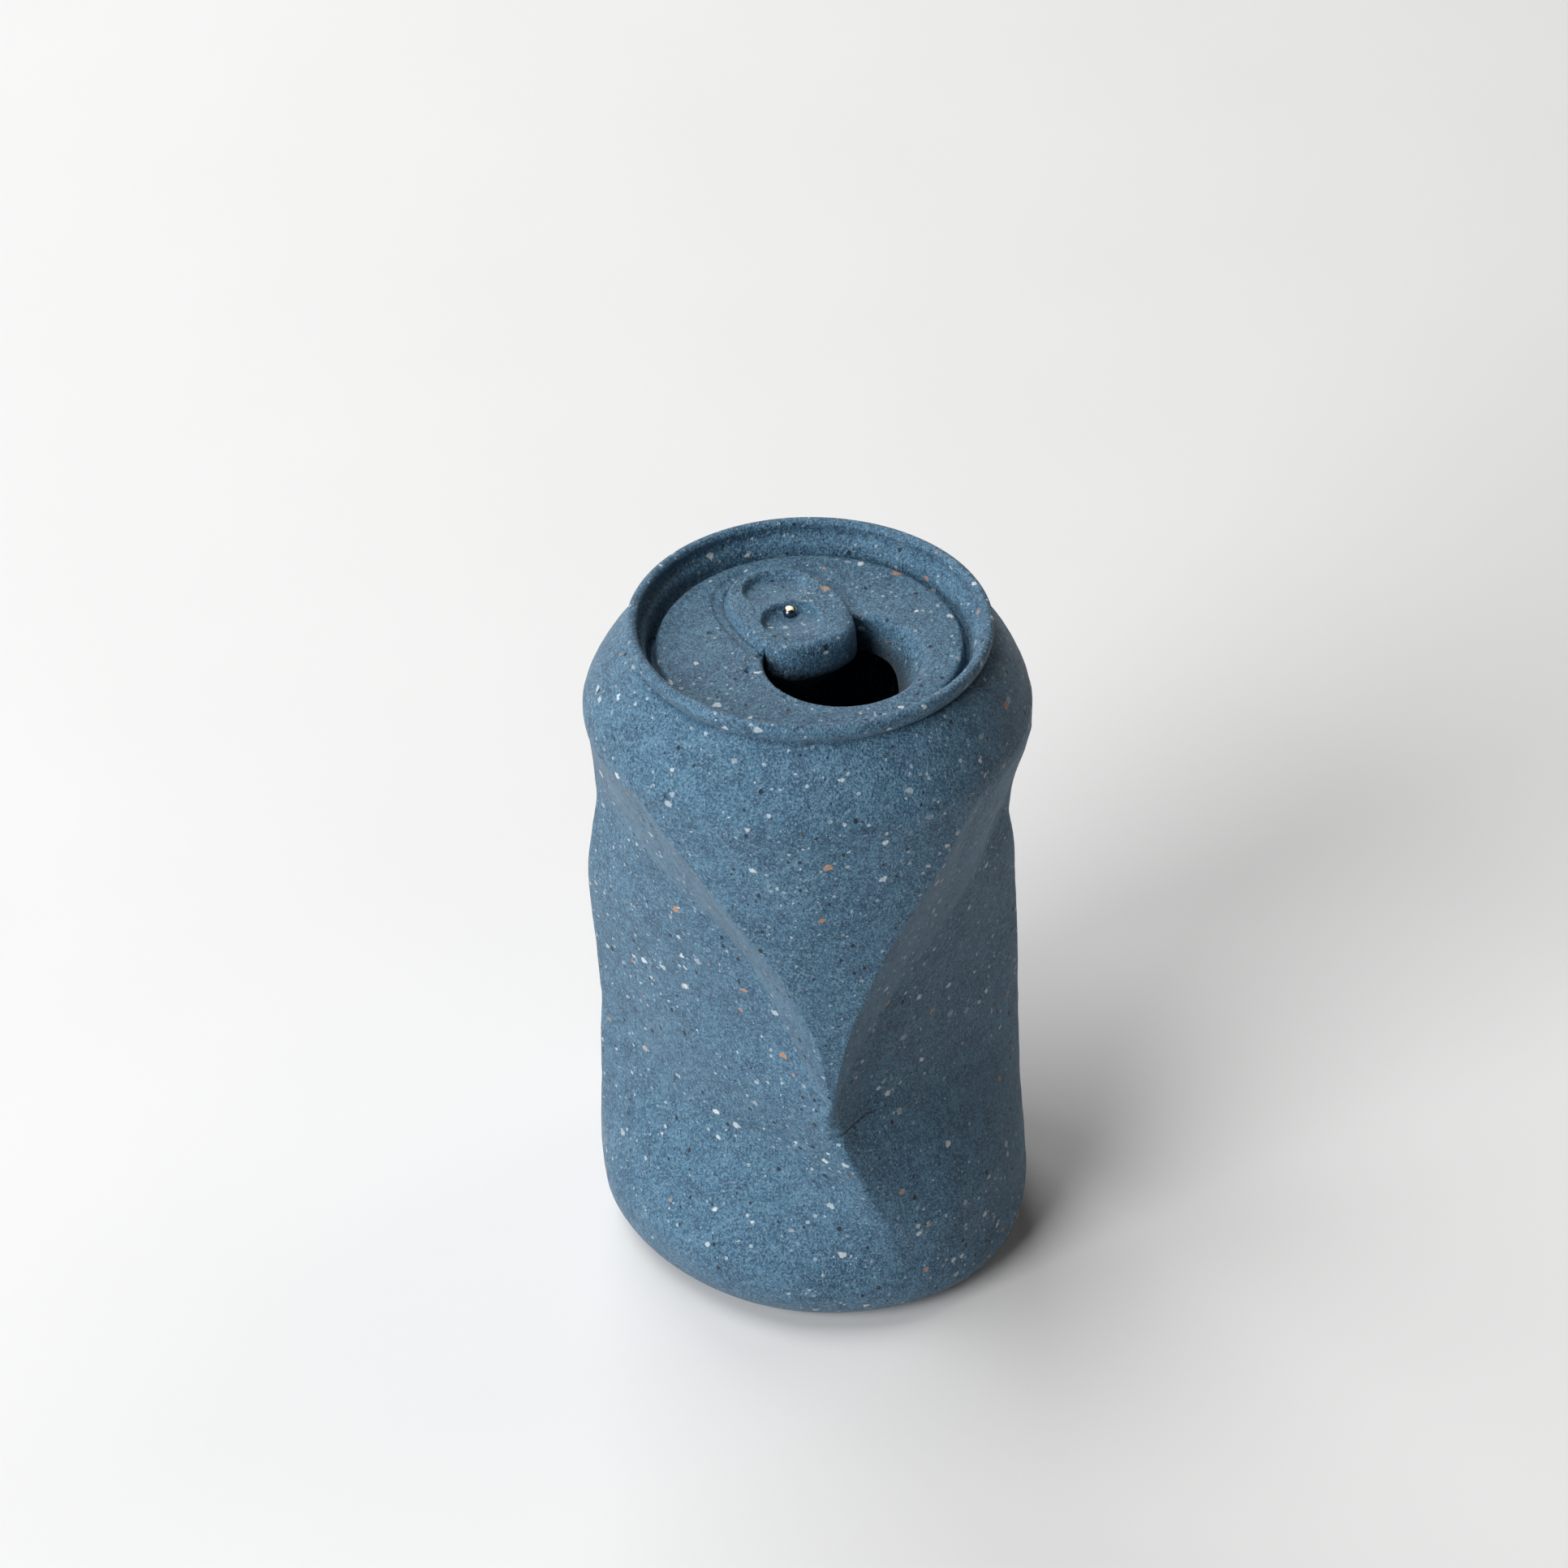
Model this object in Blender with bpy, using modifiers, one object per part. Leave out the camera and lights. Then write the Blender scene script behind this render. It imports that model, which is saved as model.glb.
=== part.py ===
"""Crushed drink can, cast in one piece in blue speckled stone composite, with a brass pin in its tab.

The can stands on its flat base, with the origin at the middle of that base and +Z up. Its front, where
the folded wall comes down to a point, faces -Y. Angles round the can are measured from the front and
grow towards +X. Dimensions are in millimetres up to the point where a mesh is made.
"""

import math

import bmesh
import bpy
from mathutils import Matrix, Vector

MM = 0.001
MERGE_DISTANCE = 0.01 * MM

# Overall sizes
HEIGHT = 111.0
BODY_RADIUS = 33.1
FOOT_RADIUS = 25.0
FOOT_HEIGHT = 9.0
WALL = 5.0
HOLLOW_CRUSH_SHARE = 0.73
FLOOR_THICKNESS = 8.0

# Rim and lid
RIM_RADIUS = 26.6
LIP_RADIUS = 0.8
NECK_RADIUS = 26.0
NECK_Z = HEIGHT - 3.0
PANEL_RADIUS = 22.3
PANEL_Z = HEIGHT - 4.0
PANEL_ROUNDING = 0.6
GROOVE_RADIUS = 23.6
GROOVE_HALF_WIDTH = 0.3
GROOVE_Z = PANEL_Z - 2.3
GROOVE_WALL_FOOT = (24.1, HEIGHT - 2.6)
GROOVE_WALL_TOP = (24.8, HEIGHT - 1.8)
GROOVE_FLARE = 0.1
GROOVE_CORNER_RISE = 0.5
RIM_SIDE_END = (RIM_RADIUS, HEIGHT - 2.0)
RIM_FOOT = (RIM_RADIUS - 0.3, HEIGHT - 2.7)
LID_THICKNESS = 6.5

# Folded wall: heights that stay in place, and those that the folds move
SHOULDER_Z = 97.5
SHOULDER_POWER = 1.3
RIDGE_Z = 72.0
VALLEY_Z = 62.0
UNCRUSHED_Z = 12.0
RIDGE_TOP_Z = 95.8
VALLEY_TOP_Z = 82.3
VALLEY_DEPTH = 1.9
RIGHT_LEFT_DEPTH = 0.3
DEPTH_FADE = 1.5
POINT_HALF_ANGLE = 9.0
CREASE_LEAN = 0.69
LEAST_BEVEL = 1.5

# Points nearer to the axis than this stay in place
STILL_RADIUS = 1.0

# The downward points of the folded wall: angle, height, and for the ridge and the valley on each side the
# angle it takes to rise to the top of the fold, the power that bends it, and the angle over which it
# starts out steeper.
POINTS = (
    {
        "angle": 5.0,
        "z": 41.0,
        "ridge": ((53, 0.44, 1), (42, 0.48, 1)),
        "valley": ((90, 0.38, 27), (136, 0.48, 1)),
    },
    {
        "angle": 128.0,
        "z": 47.0,
        "ridge": ((46, 0.50, 1), (55, 0.45, 1)),
        "valley": ((62, 0.45, 1), (64, 0.50, 1)),
    },
    {
        "angle": -138.0,
        "z": 53.0,
        "ridge": ((44, 0.45, 1), (50, 0.50, 1)),
        "valley": ((58, 0.50, 1), (76, 0.35, 1)),
    },
)
NEAR_POWER = 0.35

# Flat facets under the folds: each runs from the sharp corner under one of the points, given by its
# index, round to a blunt corner at an angle, and becomes flat from a height upwards.
FACETS = (
    (0, -92.0, 8.0),
    (0, 98.0, 15.0),
    (1, 98.0, 15.0),
    (1, 175.0, 15.0),
    (2, 175.0, 15.0),
    (2, -92.0, 8.0),
)
FLAT_RISE = 24.0
FLATNESS = 0.8
FLATNESS_AT_VALLEY = 0.52
FLATNESS_DROPS_FROM_Z = 50.0
BLUNTNESS = 1.2

# Soft dents (negative) and swellings (positive): angle, height, depth, and spread in degrees and mm.
# They die out from a little over the shoulder up to the neck.
DENTS = (
    (-88.0, 64.0, 1.9, 22.0, 9.0),
    (-88.0, 95.0, 0.3, 26.0, 5.0),
    (90.0, 97.0, -0.6, 26.0, 8.0),
    (88.0, 77.0, -1.3, 16.0, 5.0),
    (-80.0, 38.0, -0.6, 22.0, 4.5),
    (-42.0, 6.0, -1.2, 24.0, 11.0),
    (55.0, 8.0, 0.7, 32.0, 12.0),
    (58.0, 1.5, 2.6, 28.0, 4.5),
    (-32.0, 72.0, -0.5, 5.0, 3.0),
    (-10.0, 99.5, 0.8, 10.0, 3.5),
    (14.0, 41.5, -1.3, 6.0, 4.0),
    (165.0, 30.0, -0.6, 20.0, 6.0),
)
DENTS_FADE_FROM_Z = SHOULDER_Z + 3.0

# Hollow, before the crush
HOLLOW_RADIUS = BODY_RADIUS - WALL
HOLLOW_TOP_Z = PANEL_Z - LID_THICKNESS
CEILING_EDGE = ((19.0, HOLLOW_TOP_Z), (24.0, HOLLOW_TOP_Z - 1.5), (HOLLOW_RADIUS - 0.8, HOLLOW_TOP_Z - 6.0))
HOLLOW_WALL_TOP_Z = SHOULDER_Z - 9.0
HOLLOW_WALL_BOTTOM_Z = UNCRUSHED_Z + 4.0
HOLLOW_FOOT = ((HOLLOW_RADIUS - 3.5, FLOOR_THICKNESS + 1.5), (HOLLOW_RADIUS - 9.0, FLOOR_THICKNESS))

# Tab, in its own frame: u runs from the nose to the finger end, v across, with the pin at 0, 0
TAB_ORIGIN = (-2.9, 7.0)
TAB_ANGLE = 118.0
TAB_NOSE = 10.3
TAB_END = 10.7
TAB_HALF_WIDTH = 8.0
TAB_HEIGHT = 1.0
TAB_EDGE_INSET = 0.4
TAB_EDGE_DROP = 0.35
TAB_ROOT = 1.5
TAB_ROOT_FLARE = 0.1
NOSE_POWER = 3.0
END_POWER = 2.4
NOSE_TOP_DROP = 0.6
NOSE_WALL = 4.3
NOSE_TAPER_DEPTH = 8.0
NOSE_SWELL = 1.02
NOSE_MIDDLE_SCALE = 0.8
NOSE_TIP_SCALE = 0.5
NOSE_TIP_BACK = 2.0
NOSE_INSET = 0.2
NOSE_BACK_U = 1.0
NOSE_NARROWING = 0.95
FINGER_RECESS = {"u": 5.6, "v": -0.6, "radii": (4.1, 4.9), "depth": 0.5, "tilt": 5.0}
RIVET_RECESS = {"u": -2.6, "v": 1.0, "radii": (4.2, 4.5), "depth": 1.3, "tilt": 12.0}
RECESS_CUTTER_DEPTH = 3.0
RECESS_FLARE = 1.08
SURROUND_MARGIN = 2.2
SURROUND_DEPTH = 0.25
CUTTER_TOP = 2.0

# Mouth
MOUTH_CENTRE = (4.5, -4.3)
MOUTH_RADIUS = 11.3
MOUTH_OVERCUT = 3.0

# Brass pin
PIN_RADIUS = 0.95
PIN_EDGE = 0.15
PIN_BELLY_DROP = 0.6
PIN_BELLY_HEIGHT = 0.45
PIN_TOP_RADIUS = 0.6
PIN_HEIGHT = 1.5
SHANK_RADIUS = 0.5
SHANK_LENGTH = 4.0
PIN_GAP = 0.3

# Rows and steps of the meshes
PANEL_EDGE_ROWS = 2
LIP_ROWS = 6
SHOULDER_ROWS = 5
UPPER_ROWS = 5
BEVEL_ROWS = 3
LOWER_ROWS = 10
FOOT_ROWS = 5
HOLLOW_UPPER_ROWS = 2
HOLLOW_LOWER_ROWS = 5
PIN_BELLY_ROWS = 3
TURNED_STEPS = 80
CAVITY_STEPS = 40
MOUTH_STEPS = 56
PIN_STEPS = 20
PIN_HOLE_STEPS = 12
OUTLINE_STEPS = 48
RECESS_STEPS = 24


def clear_scene():
    for item in list(bpy.data.objects):
        bpy.data.objects.remove(item, do_unlink=True)


def new_collection(name):
    made = bpy.data.collections.new(name)
    bpy.context.scene.collection.children.link(made)
    return made


def principled(name, colour, roughness, metallic):
    material = bpy.data.materials.new(name)
    material.use_nodes = True
    shader = material.node_tree.nodes["Principled BSDF"]
    shader.inputs["Base Color"].default_value = (*colour, 1.0)
    shader.inputs["Roughness"].default_value = roughness
    shader.inputs["Metallic"].default_value = metallic
    return material


def stone_composite():
    return principled("speckled_composite", (0.11, 0.20, 0.28), 0.8, 0.0)


def polished_brass():
    return principled("polished_brass", (0.80, 0.58, 0.27), 0.2, 1.0)


def add_object(name, mesh, group):
    item = bpy.data.objects.new(name, mesh)
    group.objects.link(item)
    return item


def baked(item):
    """The object's mesh as its modifiers leave it, with the object and its first mesh removed."""
    bpy.context.view_layer.update()
    graph = bpy.context.evaluated_depsgraph_get()
    mesh = bpy.data.meshes.new_from_object(item.evaluated_get(graph))
    bpy.data.objects.remove(item, do_unlink=True)
    return mesh


def turned(name, profile, steps, group):
    """A solid of revolution. The profile runs from the axis at the top, down its outer side, to the axis."""
    mesh = bpy.data.meshes.new(name)
    points = [(radius * MM, 0.0, z * MM) for radius, z in profile]
    edges = [(i, i + 1) for i in range(len(points) - 1)]
    mesh.from_pydata(points, edges, [])
    blank = add_object(name + "_profile", mesh, group)
    screw = blank.modifiers.new("Screw", "SCREW")
    screw.axis = "Z"
    screw.angle = math.tau
    screw.steps = steps
    screw.render_steps = steps
    screw.use_merge_vertices = True
    screw.merge_threshold = MERGE_DISTANCE
    return add_object(name, baked(blank), group)


def arc(centre, radii, start, end, count):
    """Points of an elliptical arc, its angles in degrees from +X towards +Z."""
    points = []
    for i in range(count + 1):
        angle = math.radians(start + (end - start) * i / count)
        points.append((centre[0] + radii[0] * math.cos(angle), centre[1] + radii[1] * math.sin(angle)))
    return points


def levels(top, bottom, count):
    return [top + (bottom - top) * i / count for i in range(count + 1)]


def lid_and_rim_profile():
    edge = PANEL_RADIUS - PANEL_ROUNDING
    profile = [(0.0, PANEL_Z), (edge / 2, PANEL_Z)]
    panel_edge = (edge, PANEL_Z - PANEL_ROUNDING)
    profile += arc(panel_edge, (PANEL_ROUNDING, PANEL_ROUNDING), 90, 0, PANEL_EDGE_ROWS)
    profile += [(PANEL_RADIUS + GROOVE_FLARE, GROOVE_Z), (GROOVE_RADIUS - GROOVE_HALF_WIDTH, GROOVE_Z)]
    profile += [(GROOVE_RADIUS, GROOVE_Z + GROOVE_CORNER_RISE), GROOVE_WALL_FOOT, GROOVE_WALL_TOP]
    lip = (RIM_RADIUS - LIP_RADIUS, HEIGHT - LIP_RADIUS)
    profile += arc(lip, (LIP_RADIUS, LIP_RADIUS), 180, 0, LIP_ROWS)
    profile += [RIM_SIDE_END, RIM_FOOT, (NECK_RADIUS, NECK_Z)]
    return profile


def shoulder_profile():
    """The bulging shoulder, from the neck out to the full radius, as a quarter of a superellipse."""
    points = []
    for i in range(1, SHOULDER_ROWS + 1):
        angle = math.radians(90.0 * i / SHOULDER_ROWS)
        across = math.sin(angle) ** (2 / SHOULDER_POWER)
        down = max(math.cos(angle), 0.0) ** (2 / SHOULDER_POWER)
        radius = NECK_RADIUS + (BODY_RADIUS - NECK_RADIUS) * across
        points.append((radius, SHOULDER_Z + (NECK_Z - SHOULDER_Z) * down))
    return points


def body_profile():
    profile = lid_and_rim_profile()
    profile += shoulder_profile()
    profile += [(BODY_RADIUS, z) for z in levels(SHOULDER_Z, RIDGE_Z, UPPER_ROWS)[1:]]
    profile += [(BODY_RADIUS, z) for z in levels(RIDGE_Z, VALLEY_Z, BEVEL_ROWS)[1:]]
    profile += [(BODY_RADIUS, z) for z in levels(VALLEY_Z, UNCRUSHED_Z, LOWER_ROWS)[1:]]
    foot = (FOOT_RADIUS, FOOT_HEIGHT)
    profile += arc(foot, (BODY_RADIUS - FOOT_RADIUS, FOOT_HEIGHT), 0, -90, FOOT_ROWS)
    profile += [(0.0, 0.0)]
    return profile


def cavity_profile():
    profile = [(0.0, HOLLOW_TOP_Z), *CEILING_EDGE]
    profile += [(HOLLOW_RADIUS, z) for z in levels(HOLLOW_WALL_TOP_Z, RIDGE_Z, HOLLOW_UPPER_ROWS)]
    profile += [(HOLLOW_RADIUS, z) for z in levels(VALLEY_Z, HOLLOW_WALL_BOTTOM_Z, HOLLOW_LOWER_ROWS)]
    profile += [*HOLLOW_FOOT, (0.0, FLOOR_THICKNESS)]
    return profile


def angle_between(angle, other):
    """The signed way from one angle to another, in degrees, the short way round."""
    return (other - angle + 180.0) % 360.0 - 180.0


def fold_line(angle, line, top):
    """Height of the ridge or the valley at this angle: the lowest of the points that reach it."""
    heights = []
    for point in POINTS:
        away = angle_between(point["angle"], angle)
        reach, power, near = point[line][1 if away > 0 else 0]
        rise = min(1.0, abs(away) / reach) ** power * min(1.0, abs(away) / near) ** NEAR_POWER
        heights.append(point["z"] + (top - point["z"]) * rise)
    return min(heights)


def fold_heights(angle):
    ridge = fold_line(angle, "ridge", RIDGE_TOP_Z)
    valley = min(fold_line(angle, "valley", VALLEY_TOP_Z), ridge - LEAST_BEVEL)
    return ridge, valley


def smoothstep(value, low, high):
    share = min(max((value - low) / (high - low), 0.0), 1.0)
    return share * share * (3.0 - 2.0 * share)


def crease_angle(point, z):
    """Angle of the sharp corner that runs down from one of the points."""
    return point["angle"] + CREASE_LEAN * max(0.0, point["z"] - z)


def valley_depth(angle, z):
    """How far the wall is pushed in along the valley. It is nothing at a point and its crease."""
    depth = VALLEY_DEPTH + RIGHT_LEFT_DEPTH * math.sin(math.radians(angle))
    for point in POINTS:
        away = abs(angle_between(crease_angle(point, z), angle))
        depth *= 1.0 - math.exp(-away / POINT_HALF_ANGLE)
    return depth


def facet_depth(angle, z):
    """How far the flat facet at this angle lies inside the round wall."""
    total = 0.0
    for index, blunt, flat_from in FACETS:
        sharp = crease_angle(POINTS[index], z)
        span = angle_between(sharp, blunt)
        away = angle_between(sharp, angle)
        share = away / span
        if 0.0 < share < 1.0:
            half = math.radians(abs(span) / 2)
            chord = math.cos(half) / math.cos(math.radians(abs(away)) - half)
            blunted = BLUNTNESS * share
            inside = math.hypot(BODY_RADIUS * (1.0 - chord), blunted) - blunted
            total += inside * smoothstep(z, flat_from, flat_from + FLAT_RISE)
    drop = (FLATNESS - FLATNESS_AT_VALLEY) * smoothstep(z, FLATNESS_DROPS_FROM_Z, VALLEY_TOP_Z)
    return total * (FLATNESS - drop)


def dents(angle, z):
    total = 0.0
    for dent_angle, dent_z, depth, spread_angle, spread_z in DENTS:
        across = angle_between(dent_angle, angle) / spread_angle
        along = (z - dent_z) / spread_z
        total += depth * math.exp(-0.5 * (across * across + along * along))
    return total


def crushed(point, crush_share):
    """Where this share of the crush takes a point of the round wall."""
    x, y, z = (value / MM for value in point)
    radius = math.hypot(x, y)
    if radius < STILL_RADIUS or not 0.0 < z < NECK_Z:
        return point
    angle = math.degrees(math.atan2(x, -y))
    ridge, valley = fold_heights(angle)
    dents_share = smoothstep(z, NECK_Z, DENTS_FADE_FROM_Z)
    pushed_in = 0.0
    if RIDGE_Z <= z < SHOULDER_Z:
        z = ridge + (SHOULDER_Z - ridge) * (z - RIDGE_Z) / (SHOULDER_Z - RIDGE_Z)
    elif VALLEY_Z <= z < RIDGE_Z:
        share = (z - VALLEY_Z) / (RIDGE_Z - VALLEY_Z)
        z = valley + (ridge - valley) * share
        pushed_in = (valley_depth(angle, z) + facet_depth(angle, valley)) * (1.0 - share)
    elif UNCRUSHED_Z < z < VALLEY_Z:
        share = (z - UNCRUSHED_Z) / (VALLEY_Z - UNCRUSHED_Z)
        z = UNCRUSHED_Z + (valley - UNCRUSHED_Z) * share
        pushed_in = valley_depth(angle, z) * share**DEPTH_FADE + facet_depth(angle, z)
    moved = radius - pushed_in * crush_share + dents(angle, z) * dents_share
    return Vector((x * moved / radius * MM, y * moved / radius * MM, z * MM))


def crush(item, crush_share):
    for vertex in item.data.vertices:
        vertex.co = crushed(vertex.co, crush_share)


def tab_matrix(z=0.0):
    """From the tab's own frame, u and v in the plane of the lid, to the can's."""
    place = Matrix.Translation(Vector((TAB_ORIGIN[0], TAB_ORIGIN[1], z)) * MM)
    return place @ Matrix.Rotation(math.radians(TAB_ANGLE), 4, "Z")


def tab_outline(margin=0.0, scale=1.0):
    """The tab's outline, round at its finger end and square at its nose."""
    outline = []
    for i in range(OUTLINE_STEPS):
        angle = math.tau * i / OUTLINE_STEPS
        along = math.cos(angle)
        across = math.sin(angle)
        power = END_POWER if along > 0 else NOSE_POWER
        reach = (TAB_END if along > 0 else TAB_NOSE) + margin
        u = math.copysign(abs(along) ** (2 / power), along) * reach
        v = math.copysign(abs(across) ** (2 / power), across) * (TAB_HALF_WIDTH + margin)
        outline.append((u * scale, v * scale))
    return outline


def lofted(name, sections, group):
    """A closed solid through sections of the same number of points, given from the top down."""
    work = bmesh.new()
    rings = [[work.verts.new(Vector(point) * MM) for point in section] for section in sections]
    for upper, lower in zip(rings, rings[1:]):
        for i in range(len(upper)):
            j = (i + 1) % len(upper)
            work.faces.new((upper[i], lower[i], lower[j], upper[j]))
    work.faces.new(rings[0])
    work.faces.new(reversed(rings[-1]))
    bmesh.ops.recalc_face_normals(work, faces=work.faces)
    mesh = bpy.data.meshes.new(name)
    work.to_mesh(mesh)
    work.free()
    return add_object(name, mesh, group)


def tab_solid(group):
    """The flat tongue with a softened upper edge, set into the lid."""
    sections = []
    edge_z = TAB_HEIGHT - TAB_EDGE_DROP
    for margin, z in ((-TAB_EDGE_INSET, TAB_HEIGHT), (0.0, edge_z), (TAB_ROOT_FLARE, -TAB_ROOT)):
        sections.append([(u, v, z) for u, v in tab_outline(margin)])
    tab = lofted("tab_relief", sections, group)
    tab.matrix_world = tab_matrix(PANEL_Z)
    return tab


def nose_solid(group):
    """What hangs under the nose: a wall below its edge, then a taper into the can."""
    levels_and_scales = (
        (TAB_HEIGHT - NOSE_TOP_DROP, 1.0, 0.0),
        (-NOSE_WALL, NOSE_SWELL, 0.0),
        (-NOSE_WALL - NOSE_TAPER_DEPTH / 2, NOSE_MIDDLE_SCALE, NOSE_TIP_BACK / 2),
        (-NOSE_WALL - NOSE_TAPER_DEPTH, NOSE_TIP_SCALE, NOSE_TIP_BACK),
    )
    sections = []
    for z, scale, back in levels_and_scales:
        outline = tab_outline(-NOSE_INSET, scale)
        sections.append([(min(u, NOSE_BACK_U) + back, v * NOSE_NARROWING, z) for u, v in outline])
    nose = lofted("nose_column", sections, group)
    nose.matrix_world = tab_matrix(PANEL_Z)
    return nose


def surround_cutter(group):
    """A shallow sunk border round the tab."""
    sections = []
    for z in (CUTTER_TOP, -SURROUND_DEPTH):
        sections.append([(u, v, z) for u, v in tab_outline(SURROUND_MARGIN)])
    cutter = lofted("surround_cutter", sections, group)
    cutter.matrix_world = tab_matrix(PANEL_Z)
    return cutter


def recess_cutter(name, recess, group):
    """A tilted short cylinder: its floor is deepest towards the finger end."""
    work = bmesh.new()
    bmesh.ops.create_cone(
        work,
        cap_ends=True,
        segments=RECESS_STEPS,
        radius1=MM,
        radius2=RECESS_FLARE * MM,
        depth=RECESS_CUTTER_DEPTH * MM,
    )
    stretch = Matrix.Diagonal((*recess["radii"], 1.0, 1.0))
    lift = Matrix.Translation((0.0, 0.0, (RECESS_CUTTER_DEPTH / 2 - recess["depth"]) * MM))
    tilt = Matrix.Rotation(math.radians(recess["tilt"]), 4, "Y")
    bmesh.ops.transform(work, matrix=tilt @ lift @ stretch, verts=work.verts)
    mesh = bpy.data.meshes.new(name)
    work.to_mesh(mesh)
    work.free()
    cutter = add_object(name, mesh, group)
    shift = Matrix.Translation(Vector((recess["u"], recess["v"], 0.0)) * MM)
    cutter.matrix_world = tab_matrix(PANEL_Z + TAB_HEIGHT) @ shift
    return cutter


def upright_cylinder(name, centre, radius, bottom, top, segments, group):
    work = bmesh.new()
    bmesh.ops.create_cone(
        work,
        cap_ends=True,
        segments=segments,
        radius1=radius * MM,
        radius2=radius * MM,
        depth=(top - bottom) * MM,
    )
    mesh = bpy.data.meshes.new(name)
    work.to_mesh(mesh)
    work.free()
    item = add_object(name, mesh, group)
    item.location = Vector((*centre, (top + bottom) / 2)) * MM
    return item


def rivet_floor():
    """Height of the rivet recess's floor at the pin."""
    slope = math.tan(math.radians(RIVET_RECESS["tilt"]))
    return PANEL_Z + TAB_HEIGHT - RIVET_RECESS["depth"] + RIVET_RECESS["u"] * slope


def combine(item, other, operation):
    modifier = item.modifiers.new(other.name, "BOOLEAN")
    modifier.operation = operation
    modifier.object = other
    modifier.solver = "EXACT"
    other.hide_render = True
    other.display_type = "WIRE"


def can_body(parts, cutters):
    """The casting: a crushed hollow body with its lid, rim and tab all in one piece."""
    body = turned("can_body", body_profile(), TURNED_STEPS, parts)
    crush(body, 1.0)
    cavity = turned("cavity_cutter", cavity_profile(), CAVITY_STEPS, cutters)
    crush(cavity, HOLLOW_CRUSH_SHARE)
    mouth_bottom = HOLLOW_TOP_Z - MOUTH_OVERCUT
    mouth = upright_cylinder(
        "mouth_cutter", MOUTH_CENTRE, MOUTH_RADIUS, mouth_bottom, HEIGHT, MOUTH_STEPS, cutters
    )
    pin_hole = upright_cylinder(
        "pin_hole_cutter",
        TAB_ORIGIN,
        SHANK_RADIUS + PIN_GAP,
        rivet_floor() - SHANK_LENGTH - PIN_GAP,
        HEIGHT,
        PIN_HOLE_STEPS,
        cutters,
    )
    combine(body, surround_cutter(cutters), "DIFFERENCE")
    combine(body, mouth, "DIFFERENCE")
    combine(body, tab_solid(cutters), "UNION")
    combine(body, nose_solid(cutters), "UNION")
    combine(body, cavity_without_nose(cavity, cutters), "DIFFERENCE")
    combine(body, recess_cutter("finger_recess_cutter", FINGER_RECESS, cutters), "DIFFERENCE")
    combine(body, recess_cutter("rivet_recess_cutter", RIVET_RECESS, cutters), "DIFFERENCE")
    combine(body, pin_hole, "DIFFERENCE")
    body.data.materials.append(stone_composite())
    body.data.shade_smooth()
    return body


def cavity_without_nose(cavity, group):
    """The hollow leaves the part of the nose that hangs into it."""
    keep = nose_solid(group)
    keep.name = "nose_keeper"
    combine(cavity, keep, "DIFFERENCE")
    cavity.hide_render = True
    return cavity


def brass_pin(parts):
    """A turned pin: a shank in its hole and a rounded head with a flat polished top."""
    seat = rivet_floor() + PIN_GAP
    shoulder = seat + PIN_HEIGHT
    belly = (PIN_TOP_RADIUS, shoulder - PIN_BELLY_DROP)
    profile = [(0.0, shoulder), (PIN_TOP_RADIUS, shoulder)]
    profile += arc(belly, (PIN_RADIUS - PIN_TOP_RADIUS, PIN_BELLY_HEIGHT), 90, 0, PIN_BELLY_ROWS)
    profile += [(PIN_RADIUS, seat + PIN_EDGE), (PIN_RADIUS - PIN_EDGE, seat), (SHANK_RADIUS, seat)]
    profile += [(SHANK_RADIUS, seat - SHANK_LENGTH), (0.0, seat - SHANK_LENGTH)]
    pin = turned("brass_pin", profile, PIN_STEPS, parts)
    pin.location = Vector((*TAB_ORIGIN, 0.0)) * MM
    pin.data.materials.append(polished_brass())
    pin.data.shade_smooth()
    return pin


def main():
    clear_scene()
    parts = new_collection("crushed_drink_can")
    cutters = new_collection("cutters")
    can_body(parts, cutters)
    brass_pin(parts)


main()
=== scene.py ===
import math

import bmesh
import bpy
import numpy as np
from mathutils import Matrix, Vector, kdtree, noise
from mathutils.geometry import delaunay_2d_cdt


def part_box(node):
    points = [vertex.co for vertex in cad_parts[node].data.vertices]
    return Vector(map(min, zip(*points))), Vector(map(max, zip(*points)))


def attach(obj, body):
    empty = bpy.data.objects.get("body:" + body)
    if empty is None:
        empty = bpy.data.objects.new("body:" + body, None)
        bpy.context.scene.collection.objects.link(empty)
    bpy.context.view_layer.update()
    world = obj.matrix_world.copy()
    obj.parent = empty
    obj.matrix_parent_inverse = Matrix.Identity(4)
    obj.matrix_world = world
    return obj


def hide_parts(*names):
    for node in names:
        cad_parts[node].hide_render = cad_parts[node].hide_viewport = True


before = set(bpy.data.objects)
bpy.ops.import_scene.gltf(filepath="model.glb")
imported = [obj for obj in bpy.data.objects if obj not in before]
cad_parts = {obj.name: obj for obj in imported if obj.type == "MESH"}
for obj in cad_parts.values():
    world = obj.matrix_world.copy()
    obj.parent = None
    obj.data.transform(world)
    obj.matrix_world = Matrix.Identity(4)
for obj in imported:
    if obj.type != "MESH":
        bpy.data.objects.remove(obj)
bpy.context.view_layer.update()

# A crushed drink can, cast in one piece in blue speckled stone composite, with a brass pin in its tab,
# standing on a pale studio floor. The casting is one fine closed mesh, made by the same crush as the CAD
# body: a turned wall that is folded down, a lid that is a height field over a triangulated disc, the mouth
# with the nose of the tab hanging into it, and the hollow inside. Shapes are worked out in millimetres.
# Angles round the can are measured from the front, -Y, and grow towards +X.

MM = 0.001

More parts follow.
